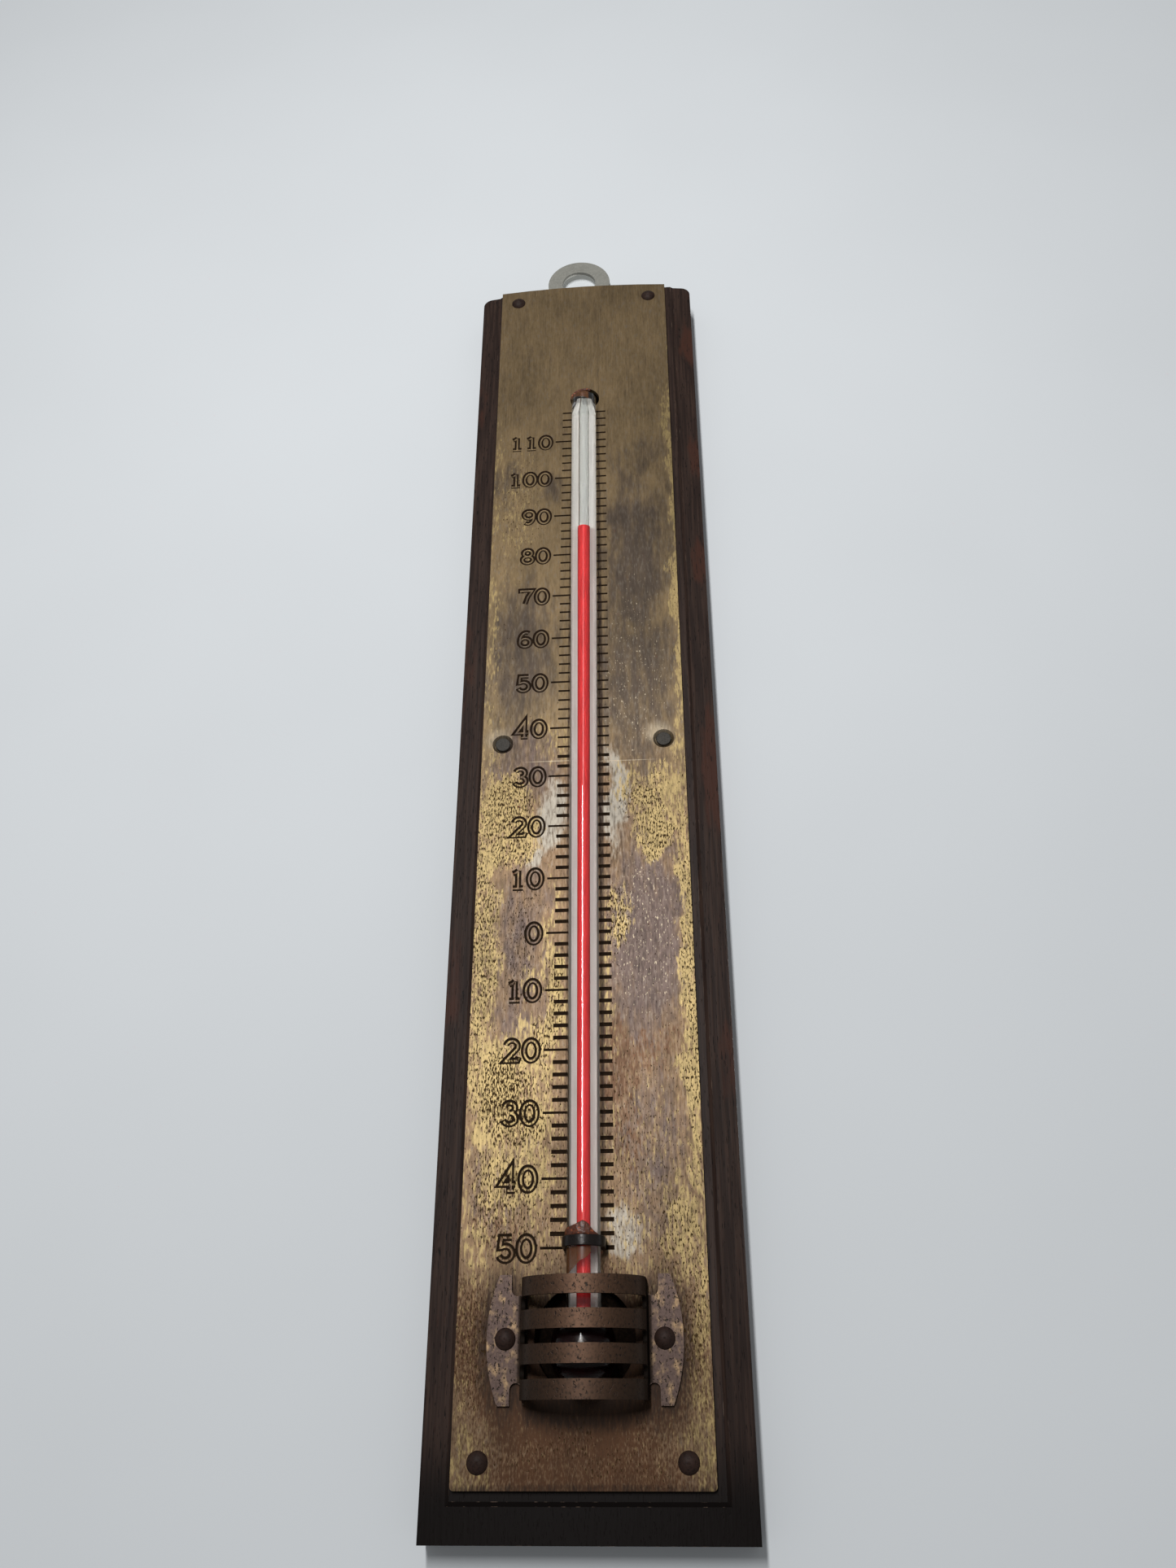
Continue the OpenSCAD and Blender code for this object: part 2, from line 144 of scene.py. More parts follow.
class ScaleSettings(bpy.types.PropertyGroup):
    """Places and sizes of the stamped scale"""
    zero_up: length("Zero mark", "Height of the zero mark above the plate's lower edge", 112.5)
    degree: length("Degree", "Length of one degree on the scale", 1.382)
    lowest: IntProperty(name="Lowest", description="Lowest degree that has a mark", default=-50)
    highest: IntProperty(name="Highest", description="Highest degree that has a mark", default=118)
    step: IntProperty(name="Step", description="Degrees from one mark to the next", default=2)
    lean: length("Lean", "How much nearer the axis the left marks are at the top than at the foot", 0.8)
    tick_in: length("Tick start", "Distance of the marks' inner ends from the tube's axis", 3.2)
    tick_left: length("Left tick end", "Distance of the lowest left marks' outer ends from the axis", 7.3)
    tick_ten: length("Tens tick end", "Distance of the lowest tens marks' outer ends from the axis", 9.3)
    tick_right: length("Right tick end", "Distance of the right marks' outer ends from the axis", 6.1)
    tick_w: length("Tick width", "Width of a short mark low on the plate's face", 0.9)
    tick_thin: length("Thin tick width", "Width of a short mark high on the plate's face", 0.55)
    thin_from: IntProperty(name="Thin from", description="Lowest degree whose short marks are thin", default=36)
    ten_w: length("Tens tick width", "Width of a tens mark at the plate's face", 0.55)
    tick_floor: length("Tick floor", "Width of a mark at its floor", 0.3)
    numeral_h: length("Numeral height", "Height of the stamped numerals", 5.0)
    numeral_w: length("Numeral width", "Width of a stamped numeral", 3.75)
    numeral_pitch: length("Numeral pitch", "Distance from one digit to the next", 4.25)
    numeral_end: length("Numeral end", "Distance of the lowest numerals' right ends from the axis", 10.3)
    stroke_w: length("Stroke width", "Width of a numeral's stroke at the plate's face", 1.5)
    stroke_floor: length("Stroke floor", "Width of a numeral's stroke at its floor", 0.45)
    depth: length("Depth", "Depth of the stamped marks", 0.26)


class TubeSettings(bpy.types.PropertyGroup):
    """Sizes and colours of the glass and what is in it"""
    bend_r: length("Bend", "Radius of the stem's bend into the board, on its centreline", 3.8)
    bore_r: length("Bore", "Radius of the bore", (SPIRIT_HIGH.x - SPIRIT_LOW.x) / 2 / MM + 0.025)
    wall: length("Bulb wall", "Thickness of the bulb's glass", 0.7)
    wetting: length("Wetting", "How far the spirit overlaps the glass, so that no air shows between", 0.004)
    spirit: paint("Spirit", "Dyed red spirit", "#ee3a3b")
    # Much darker than the column: partly the thick layer of dye, partly painted shade under the guard
    deep_spirit: paint("Deep spirit", "Spirit in the bulb, seen through a thick layer", "#1c0608")
    enamel: paint("Enamel", "White enamel behind the bore", "#c4bfb8")


class FittingSettings(bpy.types.PropertyGroup):
    """Colours of the small fittings"""
    guard: paint("Guard", "Dark tarnished brass of the guard", "#30241b")
    # Partly rubbed wear and partly a painted highlight where the bands' crowns face the lamp
    guard_crown: paint("Guard crown", "Guard's paler crown", "#5e4433")
    guard_ear: paint("Guard ears", "Brown film on the guard's ears", "#50403a")
    # Wear in the ears' mottles, and a painted highlight on the bands' upward front edges and the ears' front
    # edges
    guard_worn: paint("Worn guard", "Guard's rubbed edges", "#9a7f5e")
    copper: paint("Pins", "Brown oxide on the pins' heads", "#33231d")
    steel: paint("Steel", "Dull steel of nails and screw", "#3f3b35")
    iron: paint("Strap", "Blackened iron of the strap", "#1f1815")
    zinc: paint("Zinc", "Dull galvanised sheet of the hanger", "#93928a")
    cement: paint("Cement", "Red-brown sealing cement", "#5a2f1e")
    cement_pale: paint("Pale cement", "Orange mottles in the cement", "#a4562f")
    stain: paint("Stain", "Brown film that the cement left on the glass", "#6e4426")


class StageSettings(bpy.types.PropertyGroup):
    """Camera, lamps and backdrop"""
    camera_at: FloatVectorProperty(
        name="Camera", description="Place of the camera", default=(0.0203, -0.27681, -0.14969),
        subtype="TRANSLATION", unit="LENGTH", precision=5
    )
    camera_turn: FloatVectorProperty(
        name="Camera turn", description="Turn of the camera", subtype="EULER",
        default=(math.radians(117.99), math.radians(0.08), math.radians(4.311))
    )
    lens: FloatProperty(name="Lens", description="Focal length in millimetres", default=28.02)
    lamp_at: FloatVectorProperty(
        name="Lamp", description="Place of the strip lamp", default=(-0.07, -0.66, 0.16),
        subtype="TRANSLATION", unit="LENGTH"
    )
    lamp_w: length("Lamp width", "Width of the strip lamp", 45.0)
    lamp_l: length("Lamp length", "Length of the strip lamp, upwards", 340.0)
    key_power: FloatProperty(
        name="Lamp power", description="Power of the strip lamp", default=3.4, unit="POWER"
    )
    back_at: FloatVectorProperty(
        name="Back lamp", description="Place of the lamp that lights the board's back",
        default=(0.25, 0.7, 0.2), subtype="TRANSLATION", unit="LENGTH"
    )
    back_power: FloatProperty(
        name="Back power", description="Power of the back lamp", default=5.0, unit="POWER"
    )
    sky: FloatProperty(name="Room light", description="Strength of the light all round", default=0.22)
    backdrop: paint("Backdrop", "Pale matt sheet behind the board", "#dfe3e6")


class ThermometerSettings(bpy.types.PropertyGroup):
    """All settings of the thermometer"""
    board: PointerProperty(type=BoardSettings)
    plate: PointerProperty(type=PlateSettings)
    scale: PointerProperty(type=ScaleSettings)
    tube: PointerProperty(type=TubeSettings)
    fittings: PointerProperty(type=FittingSettings)
    stage: PointerProperty(type=StageSettings)


# Modelling helpers


def nothing_selected():
    """Deselects every object, in object mode."""
    if bpy.context.mode != "OBJECT":
        bpy.ops.object.mode_set(mode="OBJECT")
    bpy.ops.object.select_all(action="DESELECT")


def activate(piece):
    """Leaves only this piece selected, in object mode."""
    nothing_selected()
    piece.select_set(True)
    bpy.context.view_layer.objects.active = piece


def open_mesh(piece, action="SELECT", kind="VERT"):
    """Opens a piece in edit mode with all or none of it selected."""
    activate(piece)
    bpy.ops.object.mode_set(mode="EDIT")
    bpy.ops.mesh.select_mode(type=kind)
    bpy.ops.mesh.select_all(action=action)


def close_mesh():
    """Goes back to object mode."""
    bpy.ops.object.mode_set(mode="OBJECT")


def pick(piece, test, part="vertices"):
    """Selects the vertices, edges or faces of an open piece that pass a test, and nothing else."""
    bpy.ops.mesh.select_all(action="DESELECT")
    bpy.ops.object.mode_set(mode="OBJECT")
    for element in getattr(piece.data, part):
        element.select = test(element)
    bpy.ops.object.mode_set(mode="EDIT")


def apply_modifier(piece, kind, **settings):
    """Adds a modifier to a piece, sets it and applies it."""
    activate(piece)
    bpy.ops.object.modifier_add(type=kind)
    modifier = piece.modifiers[-1]
    for key, value in settings.items():
        setattr(modifier, key, value)
    bpy.ops.object.modifier_apply(modifier=modifier.name)


def copy_of(node, name):
    """A new piece with a node's shape, its loose triangles merged and its flat faces made whole."""
    nothing_selected()
    piece = bpy.data.objects.new(name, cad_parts[node].data.copy())
    bpy.context.scene.collection.objects.link(piece)
    piece.data.materials.clear()
    open_mesh(piece)
    bpy.ops.mesh.remove_doubles(threshold=MERGE)
    bpy.ops.mesh.dissolve_limited(angle_limit=math.radians(0.5))
    close_mesh()
    return piece


def soften(piece, width, angle=28, segments=2, material=-1):
    """Rounds a piece's sharp edges, and gives the rounding its own material if one is named."""
    apply_modifier(
        piece, "BEVEL", width=width, segments=segments, limit_method="ANGLE",
        angle_limit=math.radians(angle), material=material, use_clamp_overlap=True
    )


def smooth(piece, angle=32):
    """Shades a piece smooth, apart from its sharp edges, and keeps its flat faces flat."""
    activate(piece)
    bpy.ops.object.shade_smooth_by_angle(angle=math.radians(angle))
    apply_modifier(piece, "WEIGHTED_NORMAL", keep_sharp=True, weight=100)


def give(piece, *materials):
    """Adds materials to a piece, in this order."""
    for material in materials:
        piece.data.materials.append(material)


def joined(piece, other):
    """Joins another piece into this one."""
    activate(piece)
    other.select_set(True)
    bpy.ops.object.join()
    return piece


def settle(piece, body, slot, *nodes):
    """Gives a finished piece its body and hides the nodes that it stands for; the slot is not used."""
    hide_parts(*nodes)
    if body:
        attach(piece, body)


# Material helpers


def add_node(tree, kind, inputs=None, **settings):
    """Adds one node, with its settings, and sets or links its inputs."""
    new = tree.nodes.new(kind)
    for key, value in settings.items():
        setattr(new, key, value)
    for socket, value in (inputs or {}).items():
        if isinstance(value, bpy.types.NodeSocket):
            tree.links.new(value, new.inputs[socket])
        else:
            new.inputs[socket].default_value = value
    return new


def start_material(name, **sockets):
    """A new material: its node tree, its shader and its place on the object."""
    material = bpy.data.materials.new(name)
    material.use_nodes = True
    tree = material.node_tree
    shader = tree.nodes["Principled BSDF"]
    for socket, value in sockets.items():
        shader.inputs[socket.replace("_", " ").title().replace("Ior", "IOR")].default_value = value
    place = add_node(tree, "ShaderNodeTexCoord").outputs["Object"]
    return material, tree, shader, place


def colour(value):
    """A colour property as the four numbers that a socket takes."""
    return (*value, 1.0)


def cells(across, out, up):
    """Mapping scale that makes a pattern's cells this many millimetres across, out and up."""
    return (1 / (across * MM), 1 / (out * MM), 1 / (up * MM))


def speckle(tree, place, size, low, high, detail=2.0):
    """Noise with cells of the given size in mm (across, out, up), as 0 below low and 1 above high."""
    scaled = add_node(tree, "ShaderNodeMapping", {"Vector": place, "Scale": cells(*size)})
    noise = add_node(tree, "ShaderNodeTexNoise", {"Vector": scaled.outputs[0], "Scale": 1.0, "Detail": detail})
    return add_node(
        tree, "ShaderNodeMapRange",
        {"Value": noise.outputs["Fac"], "From Min": low, "From Max": high}, interpolation_type="SMOOTHSTEP"
    ).outputs["Result"]


def layered(tree, base, layers):
    """Lays colours over a base colour one after another, each where its factor is 1."""
    for factor, above in layers:
        mix = add_node(tree, "ShaderNodeMix", {0: factor, 6: base, 7: above}, data_type="RGBA")
        base = mix.outputs[2]
    return base


def toned(value, amount):
    """A colour made darker or brighter."""
    return tuple(min(1.0, amount * c) for c in value)


def shaded(value, amount):
    """A colour made darker or brighter, as a socket takes it."""
    return colour(toned(value, amount))


def coat(tree, shader, skin, *dents):
    """Gives a material its colour and its dents: height, strength, depth in mm and whether they sink."""
    tree.links.new(skin, shader.inputs["Base Color"])
    for height, strength, depth, sunk in dents:
        dent = add_node(tree, "ShaderNodeBump", {
            "Height": height, "Strength": strength, "Distance": depth * MM}, invert=sunk)
        if shader.inputs["Normal"].is_linked:
            tree.links.new(shader.inputs["Normal"].links[0].from_socket, dent.inputs["Normal"])
        tree.links.new(dent.outputs[0], shader.inputs["Normal"])


# Where the films lie on the plate, painted shade among them, as ovals: right of its middle, up from its foot,
# half width and half height in mm, and how much of the surface the film covers there, up to 1
LOWER_OVALS = ((0, 70, 60, 92, 1.0),)
STREAKY_OVALS = ((0, 98, 60, 72, 1.0),)
MAUVE_OVALS = (
    (15, 112, 9, 24, 1.0), (-15, 112, 7, 18, 0.58), (-14, 92, 6, 8, 0.65), (14, 66, 9, 18, 0.55),
    (-18, 55, 8, 10, 0.4), (15, 48, 7, 8, 0.5), (-14, 158, 12, 8, 0.6),
)
SLATE_OVALS = (
    (14.5, 222, 7.5, 28, 1.0), (14, 182, 10, 28, 0.85), (17, 257, 4.5, 10, 0.5), (-22, 250, 2.2, 7, 0.6),
    (-17, 190, 9, 24, 0.85), (-8, 246, 3, 5, 0.7),
)
RUST_OVALS = ((7.5, 82, 4, 12, 0.6), (15, 84, 9, 7, 0.5), (9, 66, 5, 8, 0.5), (-18, 46, 6, 6, 0.4))
SILVER_OVALS = (
    (7.6, 148, 2.8, 12, 0.95), (7, 138, 2, 6, 0.65), (-8, 143, 3.4, 11, 0.85), (-11, 131, 3.2, 4, 0.75),
    (9, 46, 5, 4.5, 0.75),
)
GOLD_OVALS = (
    (15.5, 146, 5, 6, 0.75), (19, 139, 6, 7, 0.8), (22, 148, 4, 6, 0.7), (-20, 147, 6, 8, 0.75),
    (-16, 138, 6, 8, 0.7), (-22, 134, 4, 8, 0.75), (-19, 78, 7, 9, 0.8), (-13, 71, 6, 6, 0.75),
    (-21, 67, 5, 6, 0.75), (-24, 110, 3.6, 52, 0.6), (-7.2, 94, 2.4, 25, 0.7), (8.5, 116, 2.6, 7, 0.6),
    (5.5, 104, 1.8, 20, 0.45), (25, 100, 2.6, 58, 0.75), (21, 46, 4.5, 14, 0.6), (24.5, 28, 2, 18, 0.62),
    (-14, 58, 9, 10, 0.65), (-21, 44, 5, 7, 0.48), (-25, 215, 1.8, 60, 0.4), (25, 225, 1.8, 70, 0.7),
    (-19, 242, 6, 24, 0.3), (-24, 25, 3, 18, 0.4), (-10, 105, 4, 5, 0.45), (-4, 165, 9, 6, 0.35),
    (0, 40, 60, 40, 0.3), (24, 8, 4, 14, 0.55), (-23, 4, 6, 6, 0.45), (11, 151, 6, 7, 0.5),
    (20, 152, 6, 5, 0.5), (-11, 84, 5, 10, 0.55),
)
# Brown film, partly painted shade: under and round the guard and along the plate's foot
BROWN_FILM_AND_SHADE_OVALS = ((0, 2, 24, 12, 0.8), (0, 20, 23, 18, 1.0), (-23, 26, 6, 12, 0.7), (23, 20, 5, 12, 0.5))
# Dirt and painted shade: round the ears, under and below the guard, at the plate's foot and beside the tube
GRIME_AND_SHADE_OVALS = (
    (-15.6, 26, 5.8, 14.6, 0.8), (16.4, 26, 5.8, 14.6, 0.8), (0.4, 14, 14.5, 4, 0.8),
    (0.4, 0, 40, 1.2, 0.5), (0.4, 27, 12.4, 13, 0.7), (4.5, 160, 0.6, 118, 0.75),
    (-3.5, 160, 0.4, 118, 0.6),
)
PITTED_OVALS = (
    (0, 90, 60, 88, 0.17), (-18, 77, 8, 9, 0.47), (-14, 69, 7, 6, 0.42), (-24, 110, 3.6, 52, 0.38),
    (15, 147, 8, 8, 0.4), (19, 138, 7, 7, 0.4), (-19, 146, 7, 9, 0.42), (-17, 136, 7, 7, 0.4),
    (25, 100, 2.6, 58, 0.36), (20, 44, 6, 15, 0.34), (0, 58, 30, 34, 0.27), (-7.6, 92, 2.6, 22, 0.38),
    (8.4, 116, 3, 9, 0.4), (-15, 110, 6, 20, 0.3), (-17, 54, 9, 12, 0.38), (13, 70, 9, 20, 0.22),
    (-18, 242, 8, 28, 0.25), (-22, 190, 4, 24, 0.2), (23, 28, 4, 18, 0.36), (-22, 26, 5, 18, 0.32),
    (0, 6, 26, 5, 0.28), (25, 230, 2, 60, 0.25),
)
FLECK_OVALS = ((14.5, 112, 9, 24, 0.24), (14, 186, 9, 34, 0.2))
SCRATCHES = (
    (-8, 158.2, 5.5, 0.13, 0.7), (10.5, 157.7, 6.5, 0.13, 0.6), (-21.6, 165, 2.9, 2.7, 0.55),
    (19, 165.4, 2.9, 2.7, 0.55),
)
RED_OVALS = (
    (32.3, 303, 2.6, 8, 0.8), (32.3, 258, 2.4, 7, 0.7), (32.2, 220, 2.4, 9, 0.75), (32.2, 155, 3, 18, 0.85),
    (32, 82, 2.4, 10, 0.6), (-31, 282, 2.4, 9, 0.5), (-30.5, 100, 2.4, 12, 0.5), (-31, 190, 2.4, 12, 0.45),
)
# Painted shade: the board's foot is darkened towards the bottom, where the light falls off
SHADED_FOOT_OVALS = ((0, -22, 120, 28, 1.0),)
FILM_LIFT = 0.6  # how far a full film lifts its streaks
FILM_EDGE = 0.8  # height above which a lifted streak shows


def on_plate(tree, wavy, ovals, soft):
    """How thick a film is that lies in ovals on the plate, with edges as ragged as the coordinates are wavy."""
    middle = (PLATE_LOW.x + PLATE_HIGH.x) / 2
    covered = 0.0
    for right, up, half_w, half_h, thick in ovals:
        across, high = 1 / (half_w * MM), 1 / (half_h * MM)
        local = add_node(tree, "ShaderNodeVectorMath", {
            0: wavy, 1: (across, 0.0, high),
            2: (-across * (middle + right * MM), 0.0, -high * (PLATE_LOW.z + up * MM))},
            operation="MULTIPLY_ADD")
        away = add_node(tree, "ShaderNodeVectorMath", {0: local.outputs[0]}, operation="LENGTH")
        inside = add_node(tree, "ShaderNodeMapRange", {
            "Value": away.outputs["Value"], "From Min": 1 + soft, "From Max": 1 - soft, "To Max": thick},
            interpolation_type="SMOOTHSTEP").outputs["Result"]
        covered = add_node(tree, "ShaderNodeMath", {0: covered, 1: inside}, operation="MAXIMUM").outputs[0]
    return covered


def film(tree, wavy, ovals, streaks, crisp, soft=0.5):
    """Where a film lies, in ragged streaks that cover as much of the surface as the film's ovals say."""
    share = on_plate(tree, wavy, ovals, soft)
    lift = add_node(tree, "ShaderNodeMath", {0: share, 1: FILM_LIFT, 2: streaks}, operation="MULTIPLY_ADD")
    return add_node(tree, "ShaderNodeMapRange", {
        "Value": lift.outputs[0], "From Min": FILM_EDGE - crisp, "From Max": FILM_EDGE + crisp},
        interpolation_type="SMOOTHSTEP").outputs["Result"]


def streaked(tree, place, size, detail):
    """Three patterns of streaks that don't follow one another, with cells of the given size in mm."""
    scaled = add_node(tree, "ShaderNodeMapping", {"Vector": place, "Scale": cells(*size)})
    noise = add_node(tree, "ShaderNodeTexNoise", {"Vector": scaled.outputs[0], "Scale": 1.0, "Detail": detail})
    return add_node(tree, "ShaderNodeSeparateColor", {"Color": noise.outputs["Color"]}).outputs


def dark_oak(s, name, worn=False):
    """Quarter-sawn oak, stained nearly black and waxed."""
    # Fine grain runs up the board with open pores; the stain is worn to red along the wings, and wax gives
    # a low sheen. The foot is darkened as painted shade.
    material, tree, shader, place = start_material(name, roughness=0.5, specular_ior_level=0.12)
    lines = speckle(tree, place, (0.7, 0.7, 18.0), 0.36, 0.72, 5.0)
    pores = speckle(tree, place, (0.25, 0.25, 2.6), 0.62, 0.70, 2.0)
    patch = streaked(tree, place, (1.4, 1.4, 7.0), 4.0)
    layers = [
        (lines, colour(s.grain)), (film(tree, place, RED_OVALS, patch[0], 0.2), colour(s.red)),
        # painted shade: the foot darkened
        (pores, colour(s.pore)), (on_plate(tree, place, SHADED_FOOT_OVALS, 0.3), shaded(s.oak, 0.22)),
    ]
    if worn:
        # Pale speckle on the arrises: partly wear, partly painted glints
        layers.append((speckle(tree, place, (1.6, 1.6, 5.0), 0.56, 0.72, 3.0), colour(s.worn)))
    skin = layered(tree, colour(s.oak), layers)
    coat(tree, shader, skin, (lines, 0.2, 0.1, False), (pores, 0.4, 0.1, True))
    return material


def recess_wood(name):
    """Raw end grain at the bottom of the drilled holes, painted near-black as shade."""
    # The near-black is painted shade, and the wood is quite dull, so the holes look black.
    material, tree, shader, place = start_material(name, roughness=1.0, specular_ior_level=0.0)
    dust = speckle(tree, place, (0.6, 0.6, 0.6), 0.4, 0.7, 2.0)
    coat(tree, shader, layered(tree, colour(srgb("#1a1410")), [(dust, colour(srgb("#251c16")))]))
    return material


def aged_brass(s, name):
    """Rolled brass sheet, brushed along its length and then left to tarnish for decades."""
    # Thin oxide films lie on it in upright streaks, olive and slate above and mauve below; where it is rubbed
    # it is gold with dark pits. The brush lines are drawn about twice as wide as the real ones, so that they
    # show.
    material, tree, shader, place = start_material(name, metallic=0.75)
    bent = [place]
    for size, across, up in (((9.0, 9.0, 14.0), 13.0, 26.0), ((2.2, 2.2, 5.0), 4.0, 8.0)):
        waves = streaked(tree, place, size, 4.0)
        shift = add_node(tree, "ShaderNodeCombineXYZ", {0: waves[0], 2: waves[1]})
        shift = add_node(
            tree, "ShaderNodeVectorMath", {0: shift.outputs[0], 1: (0.5, 0.0, 0.5)}, operation="SUBTRACT"
        )
        bent.append(add_node(tree, "ShaderNodeVectorMath", {
            0: shift.outputs[0], 1: (across * MM, 0.0, up * MM), 2: bent[-1]},
            operation="MULTIPLY_ADD").outputs[0])
    wavy, ragged = bent[1:]
    fine = streaked(tree, place, (0.5, 0.5, 2.0), 5.0)
    dash = streaked(tree, place, (0.32, 0.32, 0.9), 2.0)
    cloud = speckle(tree, place, (15.0, 15.0, 26.0), 0.3, 0.7, 3.0)
    broad = streaked(tree, place, (1.6, 1.6, 7.0), 4.0)
    brushed = speckle(tree, place, (0.28, 0.28, 10.0), 0.25, 0.75, 3.0)
    pits = film(tree, ragged, PITTED_OVALS, dash[0], 0.05, 0.7)
    layers = [(on_plate(tree, wavy, LOWER_OVALS, 0.12), colour(s.tan))]
    for edge, ovals, streaks, crisp, soft, tint in (
        (wavy, MAUVE_OVALS, broad[0], 0.25, 0.7, s.mauve),
        (wavy, SLATE_OVALS, broad[1], 0.35, 0.7, s.slate),
        (ragged, RUST_OVALS, fine[0], 0.1, 0.5, s.rust),
        (wavy, SILVER_OVALS, fine[2], 0.3, 0.5, s.silver),
        (ragged, GOLD_OVALS, fine[1], 0.13, 0.7, s.gold),
        # brown film, partly painted shade under and round the guard and at the plate's foot
        (ragged, BROWN_FILM_AND_SHADE_OVALS, dash[2], 0.25, 0.6, s.brown),
        # grime and painted shade: round the ears, under the guard and beside the tube
        (place, GRIME_AND_SHADE_OVALS, fine[2], 0.3, 0.5, s.grime),
        (place, FLECK_OVALS, dash[1], 0.03, 0.5, s.fleck),
    ):
        layers.append((film(tree, edge, ovals, streaks, crisp, soft), colour(tint)))
    layers.append((on_plate(tree, place, SCRATCHES, 0.6), colour(s.fleck)))
    patina = layered(tree, colour(s.olive), layers)
    # Fine streaks and brush lines dim all films, by much on the lower half and by little above.
    streaky = on_plate(tree, wavy, STREAKY_OVALS, 0.3)
    most = add_node(tree, "ShaderNodeMapRange", {"Value": streaky, "To Min": 0.8, "To Max": 1.9})
    dim = add_node(tree, "ShaderNodeMath", {0: fine[2], 1: 0.5}, operation="SUBTRACT").outputs[0]
    dim = add_node(
        tree, "ShaderNodeMath", {0: dim, 1: most.outputs["Result"], 2: 0.44}, operation="MULTIPLY_ADD"
    ).outputs[0]
    for part, share in ((cloud, 0.32), (brushed, 0.2), (broad[2], 0.6)):
        dim = add_node(tree, "ShaderNodeMath", {0: part, 1: share, 2: dim}, operation="MULTIPLY_ADD").outputs[0]
    patina = add_node(tree, "ShaderNodeVectorMath", {0: patina, 3: dim}, operation="SCALE").outputs[0]
    rough = add_node(tree, "ShaderNodeMapRange", {"Value": brushed, "To Min": 0.46, "To Max": 0.54})
    rough = add_node(
        tree, "ShaderNodeMath", {0: pits, 1: 0.25, 2: rough.outputs["Result"]}, operation="MULTIPLY_ADD"
    )
    tree.links.new(rough.outputs[0], shader.inputs["Roughness"])
    skin = layered(tree, patina, [(pits, colour(s.pit))])
    coat(tree, shader, skin, (brushed, 0.08, 0.1, False), (pits, 0.4, 0.1, True))
    return material


def stamped_brass(name, dirt, metallic, roughness):
    """Brass at the bottom of a stamped mark, where polish never reaches and dirt stays; also used as painted
    shade.
    """
    # Dull and dark, with crumbs of dirt; inside the guard the same colours stand for painted shade.
    material, tree, shader, place = start_material(
        name, metallic=metallic, roughness=roughness, specular_ior_level=0.1
    )
    grime = speckle(tree, place, (0.4, 0.4, 0.6), 0.35, 0.7, 2.0)
    coat(tree, shader, layered(tree, colour(dirt), [(grime, shaded(dirt, 0.5))]))
    return material


def worn_metal(name, base, spot, grit, metallic, roughness, dim=0.72, shine=0.5):
    """Small metal fitting with a cloudy oxide skin and grit-sized spots."""
    # The oxide takes the mirror off the metal, so it looks dull and blotched. The spots are drawn coarser than
    # the real ones, so that they show.
    material, tree, shader, place = start_material(
        name, metallic=metallic, roughness=roughness, specular_ior_level=shine
    )
    cloud = speckle(tree, place, (3.0, 3.0, 3.0), 0.35, 0.7, 3.0)
    spots = speckle(tree, place, (grit, grit, grit), 0.45, 0.7, 2.0)
    skin = layered(tree, colour(base), [(cloud, shaded(base, dim)), (spots, colour(spot))])
    coat(tree, shader, skin, (spots, 0.25, 0.06, False))
    return material


def tarnished_guard(s, name):
    """Pressed brass sheet, tarnished to dark bronze."""
    # The crown of each band is paler than its ends, partly rubbed and partly a painted highlight where the
    # curved bands face the light; the flat ears are mottled with bare brass and dark pits.
    material, tree, shader, place = start_material(name, metallic=0.7, roughness=0.46)
    crown = on_plate(tree, place, ((0.6, 46, 9.6, 32, 1.0),), 0.7)
    ears = on_plate(tree, place, ((-16.8, 26, 4.0, 60, 1.0), (17.8, 26, 4.0, 60, 1.0)), 0.35)
    mottles = speckle(tree, place, (1.7, 1.7, 2.6), 0.48, 0.74, 6.0)
    bare = add_node(tree, "ShaderNodeMath", {0: ears, 1: mottles}, operation="MULTIPLY").outputs[0]
    grain = speckle(tree, place, (0.5, 0.5, 0.6), 0.42, 0.86, 3.0)
    pits = speckle(tree, place, (0.45, 0.45, 0.7), 0.60, 0.70, 2.0)
    skin = layered(tree, colour(s.guard), [
        (crown, colour(s.guard_crown)), (ears, colour(s.guard_ear)), (bare, colour(s.guard_worn)),
        (grain, shaded(s.guard, 0.8)), (pits, shaded(s.guard, 0.6)),
    ])
    coat(tree, shader, skin, (pits, 0.4, 0.1, True))
    return material


def clear_glass(name, tint, roughness, ior, passed):
    """Drawn soda-lime glass: clear, and it lets lamp light through to what is in it."""
    # A glass rod gathers light in its middle, so a lamp reaches the plate behind it dimmed.
    material, tree, shader, _ = start_material(name, roughness=roughness, ior=ior)
    shader.inputs["Base Color"].default_value = colour(tint)
    shader.inputs["Transmission Weight"].default_value = 1.0
    ray = add_node(tree, "ShaderNodeLightPath").outputs["Is Shadow Ray"]
    through = add_node(tree, "ShaderNodeBsdfTransparent", {"Color": (passed, passed, passed, 1.0)}).outputs[0]
    mix = add_node(tree, "ShaderNodeMixShader", {0: ray, 1: shader.outputs[0], 2: through})
    tree.links.new(mix.outputs[0], tree.nodes["Material Output"].inputs["Surface"])
    return material


def liquid(name, dye):
    """Spirit with red dye, so strong that it looks opaque."""
    # The dye takes all light but the red, and the wet surface shines.
    material, tree, shader, place = start_material(name, roughness=0.25, ior=1.36)
    cloud = speckle(tree, place, (0.6, 0.6, 9.0), 0.3, 0.7, 1.0)
    coat(tree, shader, layered(tree, colour(dye), [(cloud, shaded(dye, 0.82))]))
    return material


